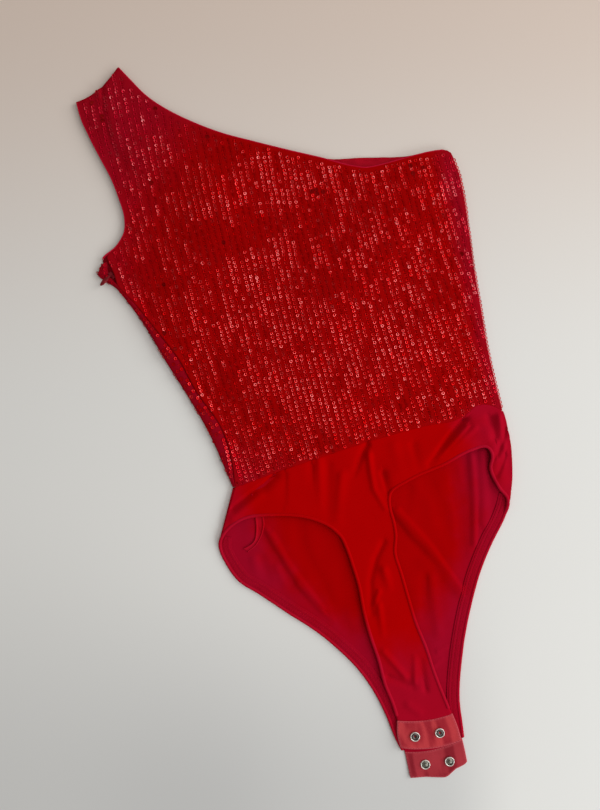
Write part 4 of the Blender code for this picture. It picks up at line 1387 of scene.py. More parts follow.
@dataclass
class Bodice:
    """The sequined front and back, the facing inside the back's neckline, and all their sequins."""

    wall: float = 0.8
    step: float = 3.2
    columns: int = 96
    edge_reach: float = 1.5
    edge_drop: float = 1.1
    side_reach: float = 1.8
    side_row: int = 2  # which column of the right turned edge carries sequins
    seam_reach: float = 1.2
    shoulder_bow: float = -5.0  # how far the shoulder edge dips in its middle
    bow_length: float = 22.0  # over which the dip fades
    shoulder_reach: float = 2.4  # how far in from the shoulder seam the front bends down to the back
    seam_gap: float = 0.3
    waist_clear: float = 0.15  # from the waist seam to the cloth above it
    waist_drop: float = 0.5
    corner_length: float = 18.0  # over which the right edge becomes a fold
    waist_blend: float = 55.0  # how far above the waist the rows start to follow its seam
    rim_inset: float = 0.45
    rim_radius: float = 0.8
    cup_lift: float = 0.32         # from the cloth's face to a cup's foot
    strap_foot: float = 205.0  # above it the cups keep further from the edges
    sequins: SequinRows = field(default_factory=SequinRows)

    def __post_init__(self) -> None:
        """Work out the fine rows of the pattern."""
        knots = knots_of(BODICE)
        self.places = spaced(knots[-1], self.step, self.edge_reach, self.edge_reach)
        self.rows = cubic_rows(BODICE, self.places)
        self.rows[:, 3] = np.maximum(self.rows[:, 3], 0.3)
        self.left_fold = self.places >= knots[LEFT_FOLD_FIRST]
        self.right_fold = self.places >= knots[RIGHT_FOLD_FIRST]
        past_corner = self.places - knots[RIGHT_FOLD_FIRST - 1]
        self.right_share = np.clip(past_corner / self.corner_length, 0.0, 1.0)
        self.waist_share = np.clip(1.0 - (knots[-1] - self.places) / self.waist_blend, 0.0, 1.0) ** 2
        self.bows = self.shoulder_bow * np.exp(-self.places / self.bow_length)

    def seamed(self, height: Array, places: Array) -> Array:
        """Bring the front's wall down to the back's at the shoulder seam, and a little at the waist seam.

        Args:
            height: heights of the front's middle.
            places: how far down the pattern each of them lies.

        Returns:
            The heights that meet the seams.
        """
        shoulder = BACK_LEVEL + self.wall + self.seam_gap
        closed = end_drop(places, self.shoulder_reach, 1.0)
        waist = end_drop(self.places[-1] - places, self.edge_reach, self.waist_drop)
        return height - closed * (height - shoulder) - waist

    def plan(self, left: Array, right: Array, columns: int) -> Array:
        """Plan points between two edges, bowed along the shoulder.

        Args:
            left: the left edge.
            right: the right edge.
            columns: how many faces lie between them.

        Returns:
            The grid of points.
        """
        shares = np.linspace(0.0, 1.0, columns + 1)
        grid = across(left, right, shares)
        grid[:, :, 1] += self.bows[:, None] * bulge(shares)[None, :]
        return grid

    def front_plan(self) -> tuple[Array, Array, Array]:
        """Plan the front inside its turned edges.

        Returns:
            The plan, and the directions out of its left and right edges.
        """
        left, right = self.rows[:, [2, 1]], self.rows[:, 4:6]
        left_out, right_out = outward(left, 1.0), outward(right, -1.0)
        plan = self.plan(left - left_out * self.seam_reach, right - right_out * self.side_reach, self.columns)
        seam_x = np.linspace(plan[-1, 0, 0], plan[-1, -1, 0], self.columns + 1)
        seam = np.stack([seam_x, waist_y(seam_x) + self.waist_clear], axis=1)
        plan += self.waist_share[:, None, None] * (seam - plan[-1])[None]
        return plan, left_out, right_out

    def front_grids(self) -> list[Array]:
        """Shape the front's panel.

        Returns:
            The panel, and its left and right edges turned down.
        """
        plan, left_out, right_out = self.front_plan()
        panel = np.dstack([plan, self.seamed(front_height(plan[..., 0], plan[..., 1]), self.places[:, None])])
        room = panel[:, :, 2] - BACK_LEVEL - self.wall - self.seam_gap
        left_depth, depth = (np.minimum(self.edge_drop, room[:, end]) for end in (0, -1))
        right_depth = depth + (panel[:, -1, 2] - FLOOR_CLEAR - depth) * self.right_share
        return [panel, turned_edge(panel[:, 0], left_out, self.seam_reach, left_depth),
                turned_edge(panel[:, -1], right_out, self.side_reach, right_depth)]

    def back_grids(self) -> tuple[Array, Array]:
        """Shape the back.

        Returns:
            Its panel, and its margin that folds up and over at the left as far as the zip seam.
        """
        left = self.rows[:, 0:2].copy()
        left_out = outward(left, 1.0)
        left[self.left_fold] -= left_out[self.left_fold] * self.side_reach
        right = self.rows[:, 6:8]
        right = right - outward(right, -1.0) * (self.edge_reach * self.right_share)[:, None]
        plan = self.plan(left, right, self.columns * 2 // 3)
        panel = np.dstack([plan, BACK_LEVEL + 0.05 * ripple(plan[..., 0], plan[..., 1], 40.0, 5)])
        edge, out = panel[self.left_fold, 0], left_out[self.left_fold]
        seam_x = (self.rows[:, 2] - self.rows[:, 3])[self.left_fold]
        seam_y = self.rows[self.left_fold, 1]
        rise = front_height(seam_x, seam_y) - 0.6 - edge[:, 2]
        angle = np.linspace(0.0, math.pi, 2 * TURN_STEPS + 1)[None, :]
        margin = np.repeat(edge[:, None, :], angle.size, axis=1)
        margin[:, :, :2] += out[:, None, :] * (self.side_reach * np.sin(angle))[:, :, None]
        margin[:, :, 2] += rise[:, None] * (1.0 - np.cos(angle)) / 2
        seam = np.stack([seam_x, seam_y, margin[:, -1, 2]], axis=1)
        share = np.linspace(0.0, 1.0, 7)[None, 1:, None]
        flat = margin[:, -1:, :] * (1.0 - share) + seam[:, None, :] * share
        flat[:, :, 2] += 0.5 * np.sin(math.pi * share[..., 0]) - 0.8 * share[..., 0] ** 4
        return panel, np.concatenate([margin, flat], axis=1)

    def cups_on(self, plan: Array, margin: float, strap_margin: float,
                rng: np.random.Generator) -> tuple[Array, Array, Array]:
        """Find where a panel's cups go, clear of its edges.

        Args:
            plan: the panel's plan.
            margin: how far inside its outline they stay.
            strap_margin: the same above the strap's foot.
            rng: the source of chance.

        Returns:
            Their plan places, their rows' headings, and how far inside the outline each is.
        """
        places, heading = self.sequins.row_places(plan, rng)
        clearance = inside_by(*places.T, outline_of(plan))
        kept = clearance > np.where(places[:, 1] > self.strap_foot, strap_margin, margin)
        return places[kept], heading[kept], clearance[kept]

    def add_front(self) -> None:
        """Add the front cloth with its sequins, their ties and its rims."""
        grids = self.front_grids()
        cloth = add_cloth("bodice_front", grids, self.wall, Skin.NET, "front_bodice")
        rng = np.random.default_rng(11)
        places, heading, clearance = self.cups_on(grids[0][..., :2], 0.8, 2.4, rng)
        x, y = places.T
        nap = np.clip(relief(x, y, NAP), -1.2, 1.0)
        normals = surface_normals(front_height, x, y)
        axes, tones = self.sequins.laid(places, normals, unit(in_space(heading)), nap, rng, 0.5 * relief(x, y, SHADOW_PATCHES))
        points = in_space(places, front_height(x, y) + self.wall / 2 + self.cup_lift - 0.2 * (clearance < 2.0))
        ties = self.sequins.tie_shaded().repeated("bodice_front_ties", points, axes, tones)
        # painted shade: the ties are dark to darken the cups' holes
        pieces = [add_piece(ties.name, ties, Skin.TIE_SHADED)]
        for name, part in (("upper", y > 110.0), ("lower", y <= 110.0)):
            mesh = self.sequins.cup().repeated(f"bodice_front_sequins_{name}", points[part], axes[part], tones[part])
            pieces.append(add_piece(mesh.name, mesh, Skin.SEQUINS))
        pieces.append(self.add_side_sequins(grids, rng))
        pieces.append(self.add_rim("armhole", ~self.left_fold, 0, 1.0))
        pieces.append(self.add_rim("neckline", ~self.right_fold, 4, -1.0))

    def add_rim(self, name: str, open_rows: Array, column: int, side: float) -> bpy.types.Object:
        """Add the binding of an open edge of the front.

        Args:
            name: the edge's name.
            open_rows: which rows of the pattern it runs along.
            column: the first of its two columns in the pattern.
            side: 1 at the left, -1 at the right.

        Returns:
            The new object.
        """
        edge = self.rows[open_rows, column:column + 2]
        out = outward(edge, side)
        height = self.seamed(front_height(*edge.T) - 0.35, self.places[open_rows])
        mesh = rolled_edge(f"front_{name}_rim", edge - out * self.rim_inset, out, height, self.rim_radius, 1.0)
        return add_piece(mesh.name, mesh, Skin.BINDING)

    def add_side_sequins(self, grids: list[Array], rng: np.random.Generator) -> bpy.types.Object:
        """Add the row of sequins down the right fold's face.

        Args:
            grids: the front's panel and its turned edges.
            rng: the source of chance.

        Returns:
            The sequins' object.
        """
        line = grids[2][self.right_fold, self.side_row]
        out = line - grids[0][self.right_fold, -1]
        out[:, 2] = 0.0
        angle = math.pi / 2 * self.side_row / TURN_STEPS
        normal = unit(out) * math.sin(angle) + np.array([0.0, 0.0, math.cos(angle)])
        pitch = self.sequins.pitch
        found, heading = even_points(np.concatenate([line, normal], axis=1), pitch, 2.0 * pitch)
        axes, _ = self.sequins.laid(found, found[:, 3:6], -unit(heading[:, :3]), -0.9, rng)
        places = found[:, :3] + found[:, 3:6] * (self.wall / 2 + 0.2)
        # painted shade: the cups on the side fold get a tone near black
        mesh = self.sequins.cup().repeated("bodice_side_sequins", places, axes, np.full(len(places), 0.014))
        return add_piece(mesh.name, mesh, Skin.SEQUINS)

    def add_back(self) -> None:
        """Add the back cloth with its margin, the margin's sequins and those it lies on."""
        panel, margin = self.back_grids()
        # painted shade: the back takes the darker net
        cloth = add_cloth("bodice_back", [panel, margin], self.wall, Skin.NET_SHADED, "back_bodice")
        pieces = [self.add_margin_sequins(margin), self.add_under_sequins(panel)]

    def add_margin_sequins(self, margin: Array) -> bpy.types.Object:
        """Add rows of sequins along the back's turned margin, measured from the zip seam.

        Args:
            margin: the margin's grid.

        Returns:
            The sequins' object.
        """
        rng = np.random.default_rng(17)
        inwards = margin[:, ::-1]
        reach = np.array([travelled(row) for row in inwards])
        normal = unit(np.cross(np.gradient(margin, axis=0), np.gradient(margin, axis=1)))
        normal *= np.where(normal[:, -3:-2, 2:3] < 0, -1.0, 1.0)
        faces = np.concatenate([inwards, normal[:, ::-1]], axis=2)
        places, axes, tones = [], [], []
        for distance in np.arange(2.6, 26.0, 4.6):
            found = np.array([rows_at(np.array([distance]), run, row)[0] for run, row in zip(reach, faces)])
            there = (distance < reach[:, -1] - 1.0).astype(float)
            line, heading = even_points(np.column_stack([found, there]), self.sequins.pitch,
                                        float(rng.uniform(0.5, 3.0)))
            kept = (line[:, 6] > 0.99) & (line[:, 2] > 2.3) & (rng.random(len(line)) < 0.6)
            square, direction = unit(line[kept, 3:6]), unit(heading[kept, :3])
            laid, tone = self.sequins.laid(line[kept], square, -direction, -0.9, rng)
            places.append(line[kept, :3] + square * (self.wall / 2 + 0.25))
            axes.append(laid)
            tones.append(tone)
        mesh = self.sequins.cup().repeated("bodice_margin_sequins", *map(np.concatenate, (places, axes, tones)))
        return add_piece(mesh.name, mesh, Skin.SEQUINS)

    def add_under_sequins(self, panel: Array) -> bpy.types.Object:
        """Add the sequins of the back's right side, which the garment lies on.

        Args:
            panel: the back panel's grid.

        Returns:
            The sequins' object.
        """
        rng = np.random.default_rng(23)
        places, heading, _ = self.cups_on(panel[..., :2], 2.0, 2.0, rng)
        down = np.array([0.0, 0.0, -1.0]) + rng.normal(0.0, 0.03, (len(places), 3))
        points = in_space(places, BACK_LEVEL - self.wall / 2 - 0.12)
        axes, tones = facing_axes(down, in_space(heading)), rng.uniform(0.3, 0.9, len(places))
        mesh = self.sequins.flat_cup().repeated("bodice_back_sequins", points, axes, tones)
        return add_piece(mesh.name, mesh, Skin.SEQUINS)

    def add_facing(self) -> None:
        """Add the facing inside the back's neckline: a band that follows it, with soft puckers."""
        rows = fine_rows(NECK_FACING, 2.0, 1.0)
        plan = across(rows[:, 0:2], rows[:, 2:4], spaced(1.0, 0.05, 0.04, 0.04))
        x, y = plan[..., 0], plan[..., 1]
        share = np.linspace(0.0, 1.0, plan.shape[1])[None, :]
        z = BACK_TOP + 0.25 * ripple(x, y, 16.0, 7) - 0.3 * np.exp(-(np.minimum(share, 1.0 - share) / 0.05) ** 2)
        facing = add_cloth("neck_facing", [np.dstack([x, y, z])], 0.6, Skin.LINING, "back_neck_facing")
        line = rows[:, 2:4] * 0.9 + rows[:, 0:2] * 0.1
        stitches = Stitching(length=1.8, pitch=2.4, radius=0.18, lift=0.1).add(
            "neck_facing_stitches", [line], lambda px, _: np.full(np.shape(px), BACK_TOP + 0.42), Skin.THREAD, 29)

    def add(self) -> None:
        """Add the whole bodice."""
        self.add_back()
        self.add_facing()
        self.add_front()


# ---- brief

# foot_x, foot_y, waist_x and swing of the front brief's columns, left and right of the crotch strip.
LEFT_BRIEF = np.array([
    (-146, -93.5, -120, 0), (-136, -86.4, -109, 0), (-123, -82, -97, 0), (-88, -87, -72, 0),
    (-52, -102.5, -47, 0), (-38.5, -114.5, -38, 0), (-31, -127, -31, 0)])
RIGHT_BRIEF = np.array([
    (24.5, -127, 25, 0), (25, -111, 31, 0), (29, -99.5, 38, 0), (48, -93, 52, 0),
    (89, -87.5, 88, 0), (118, -82, 117, 0), (134, -83.5, 135, 0), (135.5, -93, 146, 4),
    (130.5, -103, 152, 7), (131.5, -119, 156, 8),
    (134.4, -129.5, 158, 7), (138.2, -136.5, 159.3, 6), (138.7, -143, 160, 5)])
# left_x, left_y, right_x, right_y of the crotch strip's rows, and of the back brief's after it
CROTCH_STRIP = np.array([
    (-31, -127, 24.5, -127), (-29.5, -141, 22.5, -141), (-29, -158, 16.5, -157),
    (-29, -178, 16.5, -178), (-32, -205, 16, -206), (-32.8, -230, 16, -230),
    (-32, -256, 18.5, -257), (-33, -280, 19, -282), (-31, -301, 20.6, -304),
    (-31, -318.3, 22.8, -327.3)])
BACK_BRIEF = np.array([
    (-120, -48, 160, -54.8), (-131.2, -68, 158.5, -76), (-142, -85.5, 152.5, -105),
    (-148.9, -101, 146.3, -123), (-147, -119, 140.4, -139), (-140.5, -138, 129, -155.5),
    (-125, -156, 111.3, -174), (-102, -184, 90, -200), (-80, -210, 74, -225),
    (-64.7, -233, 60, -250), (-51.4, -258, 48, -275), (-43, -283, 38.5, -298),
    (-38, -310, 31.7, -319), (-36, -334, 28, -341), (-33, -352, 25.3, -356.5)])
BACK_FOLDS = folds(
    (6, 6, 0.5, 0.7, 120, -100, 110, -150), (3, 6, -1, -0.3, -105, -101, -97, -131, -89, -159, -67, -199),
    (2.2, 7, 1.4, 0.8, -97, -104, -89, -140, -70, -190), (4, 3, 0.6, 0.3, -86, -160, -66, -202),
    (5, 6, -0.5, -0.3, -66, -99, -72, -122, -65, -162, -52, -220), (5, 5, 0.9, 0.2, -121, -124, -123, -142),
    (4, 4, 0.7, 0.2, -101, -138, -99, -158), (4, 4, -0.6, -0.2, -113, -124, -113, -148),
    (5, 5, -0.9, -0.3, 22, -110, 27, -135, 37, -155, 65, -202),
    (2.6, 7, 1.9, 1.4, 30, -118, 50, -160, 68, -212), (5, 5, -0.5, -0.2, 48, -100, 40, -120),
    (6, 6, -0.6, -0.2, 68, -102, 72, -124, 71, -164), (4, 5, -0.9, -0.4, 96, -96, 90, -140, 81, -178),
    (1.9, 3.2, 2, 1.3, 118, -88, 108, -130, 95, -172), (5, 3, 1.6, 0.7, 129, -86, 120, -122, 109, -156),
    (3, 3, -0.4, -0.1, 108, -92, 98, -130), (4, 4, -0.6, -0.3, 37, -190, 25, -228),
    (5, 5, 0.7, 0.4, 43, -193, 34, -247), (2.5, 2.5, 0.5, 0.3, 28, -265, 37, -264),
    (2.5, 2.5, 0.5, 0.2, 17, -279, 29, -274))
# outer_x, outer_y, inner_x, inner_y of the left side seam's pressed allowance, from the waist down
SEAM_ALLOWANCE = np.array([
    (-105, -60, -95, -60), (-108.2, -84.7, -99.4, -84.7), (-111, -96.2, -101.3, -93.6),
    (-116.3, -106, -108.9, -105), (-122, -108.6, -115.5, -110.6), (-128, -109.6, -124, -114.2)])


def back_height(x: Array, y: Array) -> Array:
    """Middle of the back brief's wall over the plan: its folds stand up from the level, never below it.

    The folds f become t tanh(log(1 + exp(3 f)) / 3 t), which is near f and stays between 0 and t.

    Args:
        x: the points' x.
        y: their y.

    Returns:
        The height at each point.
    """
    raised = 0.6 + BACK_GAIN * relief(x, y, BACK_FOLDS) + 0.15 * ripple(x, y, 26.0, 9)
    soft = np.log1p(np.exp(raised * 3.0)) / 3.0
    return BACK_LEVEL - 0.35 + FOLD_LIMIT * np.tanh(soft / FOLD_LIMIT)


def bow_end(grid: Array, edge: Array, depth: float, length: float) -> None:
    """Bow the last rows of a plan along Y by depth 4 s (1 - s), which fades away from its end.

    Args:
        grid: the plan's points, changed in place.
        edge: one of its edges, from its first row to its last.
        depth: how far the last row's middle moves.
        length: over which it fades.
    """
    along = travelled(edge)
    bow = depth * np.clip(1.0 - (along[-1] - along) / length, 0.0, 1.0)
    grid[:, :, 1] += bow[:, None] * bulge(np.linspace(0.0, 1.0, grid.shape[1]))[None, :]


@dataclass
class Brief:
    """The jersey front and back, the leg hems, the left seam's allowance and their stitching."""

    wall: float = 0.8
    step: float = 1.6
    rows_down: int = 56
    strip_columns: int = 40
    back_columns: int = 164
    side_reach: float = 1.8
    seam_drop: float = 0.5
    waist_clear: float = 0.15  # from the waist seam to the cloth below it
    rim_reach: float = 1.5
    rim_drop: float = 1.5
    rim_radius: float = 1.7
    rim_inset: float = 1.0
    rim_corner: float = 8.0  # over which a rim rounds the hip
    rim_climb: float = 14.0        # over which it passes from the front's height to the back's
    hem_width: float = 10.0
    hem_wall: float = 0.6
    hem_inset: float = 0.35
    hem_columns: int = 13
    left_hip: float = -84.0        # where the back comes out from under the front's hips, along Y
    right_hip: float = -128.0
    hip_inset: float = 1.6  # how far inside its outline the back stays above that

    def __post_init__(self) -> None:
        """Work out the fine columns of the front, the rows of the strip and the back, and the leg edges."""
        self.left, self.right, self.strip, self.back = (
            fine_rows(table, self.step) for table in (LEFT_BRIEF, RIGHT_BRIEF, CROTCH_STRIP, BACK_BRIEF))
        self.left_leg = np.concatenate([self.left[:, 0:2], self.strip[1:, 0:2]])
        self.right_leg = np.concatenate([self.right[::-1, 0:2], self.strip[1:, 2:4]])

    def under_front(self, x: Array, y: Array) -> Array:
        """Middle of the hems beneath the front."""
        return front_height(x, y) - (self.wall / 2 + 1.1)

    def over_back(self, x: Array, y: Array) -> Array:
        """Middle of what lies on the back."""
        return back_height(x, y) + 0.85

    def front_grids(self) -> list[Array]:
        """Shape the front.

        Returns:
            Its yoke and its crotch strip, its side folds and its turned leg edges.
        """
        left_out, right_out = outward(self.left_leg, 1.0), outward(self.right_leg, -1.0)
        inner_left = self.left_leg - left_out * self.rim_reach
        inner_right = self.right_leg - right_out * self.rim_reach
        left_count, right_count = len(self.left), len(self.right)
        left_feet, right_feet = inner_left[:left_count], inner_right[:right_count][::-1]
        strip = across(np.concatenate([left_feet[-1:], inner_left[left_count:]]),
                       np.concatenate([right_feet[:1], inner_right[right_count:]]),
                       np.linspace(0.0, 1.0, self.strip_columns + 1))
        bow_end(strip, self.strip[:, 0:2], -3.0, 31.0)
        between = np.linspace(self.left[-1, 2], self.right[0, 2], self.strip_columns + 1)[1:-1]
        middle = np.concatenate([self.left[:, 2], between, self.right[:, 2]])
        swing = np.concatenate([self.left[:, 3], np.zeros(len(between)), self.right[:, 3]])
        feet = np.concatenate([left_feet, strip[0, 1:-1], right_feet])
        down = spaced(1.0, 1.0 / self.rows_down, 0.03)
        yoke = across(np.stack([middle, waist_y(middle) - self.waist_clear], axis=1), feet, down)
        yoke[:, :, 0] += swing[:, None] * bulge(down)[None, :]
        yoke = yoke.transpose(1, 0, 2)
        hip_left, hip_right = outward(yoke[:, 0], 1.0), outward(yoke[:, -1], -1.0)
        yoke[:, 0] -= hip_left * self.side_reach
        yoke[:, -1] -= hip_right * self.side_reach
        seam = end_drop(down * 75.0, self.rim_reach, self.seam_drop)[:, None]
        surface = np.dstack([yoke, front_height(yoke[..., 0], yoke[..., 1]) - seam])
        lower = np.dstack([strip, front_height(strip[..., 0], strip[..., 1])])
        left_edge = np.concatenate([surface[-1, :left_count], lower[1:, 0]])
        right_edge = np.concatenate([surface[-1, -right_count:][::-1], lower[1:, -1]])
        sides = [turned_edge(surface[:, end], out, self.side_reach, surface[:, end, 2] - FLOOR_CLEAR)
                 for end, out in ((0, hip_left), (-1, hip_right))]
        rims = [turned_edge(edge, out, self.rim_reach, self.rim_drop)
                for edge, out in ((left_edge, left_out), (right_edge, right_out))]
        return [surface, lower, *sides, *rims]

    def add_front(self) -> None:
        """Add the front with its leg edges and the hems beneath."""
        cloth = add_cloth("brief_front", self.front_grids(), self.wall, Skin.JERSEY, "front_brief")
        rims = [self.add_rim("left", self.left_leg, self.back[:, 0:2]),
                self.add_rim("right", self.right_leg, self.back[:, 2:4])]
        for name, edge, side, start in (("left", self.left_leg, 1.0, 18), ("right", self.right_leg, -1.0, 24)):
            hem = self.add_hem(f"front_{name}_leg_hem", edge[start:-3], side, self.under_front)

    def add_rim(self, side: str, front_edge: Array, back_edge: Array) -> bpy.types.Object:
        """Add the rolled edge of one leg: up the front's edge, round the hip and down the back's outline.

        Args:
            side: left or right.
            front_edge: the front's leg edge from the hip to the crotch.
            back_edge: the back's outline from the waist to the crotch.

        Returns:
            The new object.
        """
        climb, fall = front_edge[-3:2:-1], back_edge[back_edge[:, 1] < front_edge[0, 1] - 3.0]
        path = softened(np.concatenate([climb, fall]), self.rim_corner)[::2]
        past = np.clip((travelled(path) - travelled(climb)[-1]) / self.rim_climb, 0.0, 1.0)
        past = past * past * (3.0 - 2.0 * past)
        height = front_height(*path.T) * (1.0 - past) + (back_height(*path.T) + 0.4) * past
        out = -outward(path, 1.0 if side == "left" else -1.0)
        mesh = rolled_edge(f"leg_rim_{side}", path - out * self.rim_inset, out, height, self.rim_radius, 0.85)
        # painted sheen: the rolled edge takes the lighter jersey
        return add_piece(mesh.name, mesh, Skin.ROLLED_SHEEN)

    def add_hem(self, name: str, edge: Array, side: float, height: Heights) -> bpy.types.Object:
        """Add a hem band just inside a leg edge, ribbed and rounded at both its edges.

        Args:
            name: the CAD node that it stands for.
            edge: the leg edge's plan points.
            side: 1 at the left, -1 at the right.
            height: the height function that it lies on.

        Returns:
            The band.
        """
        share = np.linspace(0.0, 1.0, self.hem_columns)
        reach = self.hem_inset + self.hem_width * share
        plan = edge[:, None, :] - outward(edge, side)[:, None, :] * reach[None, :, None]
        ends = 0.35 * np.exp(-(share / 0.07) ** 2) + 0.5 * np.exp(-((1 - share) / 0.08) ** 2)
        ribs = 0.22 * np.cos(share * 6 * math.pi) - ends
        grid = np.dstack([plan, height(plan[..., 0], plan[..., 1]) + ribs[None, :]])
        # painted shade: the hems take the darker jersey
        return add_cloth(f"{name}_band", [grid], self.hem_wall, Skin.JERSEY_INSIDE_SHADED, name)

    def back_grid(self) -> tuple[Array, Array, Array]:
        """Shape the back.

        Returns:
            Its grid, and its two leg edges from the hip to the crotch.
        """
        inner, legs = [], []
        for edge, side, hip in ((self.back[:, 0:2], 1.0, self.left_hip), (self.back[:, 2:4], -1.0, self.right_hip)):
            shown = np.clip((hip - edge[:, 1]) / 6.0, 0.0, 1.0)
            inner.append(edge - outward(edge, side) * (self.hip_inset * (1.0 - shown))[:, None])
            legs.append(edge[shown > 0.99])
        plan = across(*inner, np.linspace(0.0, 1.0, self.back_columns + 1))
        bow_end(plan, self.back[:, 0:2], -4.0, 36.0)
        return np.dstack([plan, back_height(plan[..., 0], plan[..., 1])]), *legs

    def add_back(self) -> None:
        """Add the back with its hems, the seam allowance and their stitching."""
        grid, left_leg, right_leg = self.back_grid()
        # painted shade: the back takes the darker jersey
        cloth = add_cloth("brief_back", [grid], self.wall, Skin.JERSEY_INSIDE_SHADED, "back_brief")
        seam = Stitching(length=2.3, pitch=2.7, radius=0.2, lift=0.12)
        for name, edge, side in (("left", left_leg, 1.0), ("right", right_leg, -1.0)):
            hem = self.add_hem(f"back_{name}_leg_hem", edge[:-1], side, self.over_back)
            lines = [(edge - outward(edge, side) * inset)[2:-3] for inset in (2.6, 5.2, 8.0)]
            stitches = seam.add(f"back_{name}_leg_stitches", lines, lambda x, y: self.over_back(x, y) + 0.38,
                                Skin.THREAD, 37)
        self.add_allowance()

    def add_allowance(self) -> None:
        """Add the pressed allowance of the left side seam, with its overlock stitches."""
        rows = fine_rows(SEAM_ALLOWANCE, 1.2, 0.8)
        share = np.linspace(0.0, 1.0, 21)
        plan = across(rows[:, 0:2], rows[:, 2:4], share)
        ridge = 1.0 * np.exp(-((share - 0.10) / 0.09) ** 2) + 1.1 * np.exp(-((share - 0.90) / 0.09) ** 2)
        grid = np.dstack([plan, self.over_back(plan[..., 0], plan[..., 1]) + ridge[None, :] - 0.2])
        # painted sheen: the ridges take the lighter jersey
        band = add_cloth("seam_allowance", [grid], self.hem_wall, Skin.ROLLED_SHEEN, "left_seam_allowance")
        lines = [rows[:, 0:2] * (1 - s) + rows[:, 2:4] * s for s in (0.10, 0.90)]
        stitches = Stitching(length=1.6, pitch=2.0, radius=0.18, lift=0.15).add(
            "seam_allowance_stitches", lines, lambda x, y: self.over_back(x, y) + 0.95, Skin.THREAD, 41)

    def add(self) -> None:
        """Add the whole brief."""
        self.add_back()
        self.add_front()


# ---- snap tapes

# left_x, left_y, right_x, right_y and bow of each tape's rows; the back tape's cut corner as share, drop.
BACK_TAPE = ((-32.6, -352.3, 25.3, -356.8, -4.0), (-33.6, -364.0, 24.6, -367.0, -5.0),
             (-34.8, -378.0, 23.4, -379.5, 0.0))
FRONT_TAPE = ((-31.0, -318.6, 22.9, -327.6, -3.0), (-34.6, -331.0, 24.0, -340.0, -3.2),
              (-35.5, -344.5, 23.8, -354.8, -4.5))
BACK_CUT = ((0.0, 0.0), (0.3, -4.5), (0.57, -9.2), (0.63, -8.4), (0.79, -3.4), (0.95, -2.0), (1.0, 0.0))


@dataclass
class SnapTape:
    """One folded crotch tape with its edge stitching."""

    name: str
    node: str
    rows: tuple[tuple[float, ...], ...]
    level: float
    seed: int
    skin: Skin
    cut: tuple[tuple[float, float], ...] = ((0.0, 0.0), (1.0, 0.0))  # lower edge: share of its length, drop
    wall: float = 1.5
    reach: float = 1.0
    step: float = 1.5
    seam_rows: int = 3  # how many grid lines inside its edges the stitches run
    seam_inset: float = 3.0

    def height(self, x: Array, y: Array) -> Array:
        """Middle of the tape's wall: its level with soft waves."""
        return self.level + 0.22 * ripple(x, y, 24.0, self.seed)

    def plan(self) -> Array:
        """Lay out the tape between its sections, bowed along its length.

        Returns:
            The grid of plan points.
        """
        fine = fine_rows(np.array(self.rows), self.step, self.reach)
        width = float(np.linalg.norm(fine[0, 2:4] - fine[0, 0:2]))
        shares = spaced(width, self.step, self.reach, self.reach) / width
        grid = across(fine[:, 0:2], fine[:, 2:4], shares)
        grid[:, :, 1] += fine[:, 4:5] * bulge(shares)[None, :]
        down = np.linspace(0.0, 1.0, len(fine))[:, None]
        grid[:, :, 1] += np.clip(down * 2.0 - 1.0, 0.0, 1.0) * np.interp(shares, *np.array(self.cut).T)[None, :]
        return grid

    def add(self, flat: tuple[float, float], rests_on: str, snaps: Sequence[bpy.types.Object]) -> None:
        """Add the tape, rounded at its edges, with its stitches.

        Args:
            flat: its flat width and length in metres; not used.
            rests_on: what lies below it; not used.
            snaps: the snaps that are set in it; not used.
        """
        plan = self.plan()
        outline = outline_of(plan)
        x, y = plan[..., 0], plan[..., 1]
        edge = np.abs(inside_by(x, y, outline))
        groove = 0.25 * np.exp(-((edge - self.seam_inset) / 0.8) ** 2)
        z = self.height(x, y) - end_drop(edge, self.reach, 0.35) - groove
        tape = add_cloth(self.name, [np.dstack([x, y, z])], self.wall, self.skin, self.node)
        place = points_of(tape.data) / MM
        set_tone(tape.data, np.exp(-(inside_by(place[:, 0], place[:, 1], outline) / 0.8) ** 2))
        k = self.seam_rows
        inner = [plan[k, k:-k], plan[-k - 1, k:-k], plan[k:-k, k], plan[k:-k, -k - 1]]
        stitches = Stitching(length=2.1, pitch=2.7, radius=0.17, lift=0.12).add(
            f"{self.name}_stitches", inner, lambda px, py: self.height(px, py) + self.wall / 2 - 0.2,
            Skin.TAPE_THREAD, self.seed + 50)


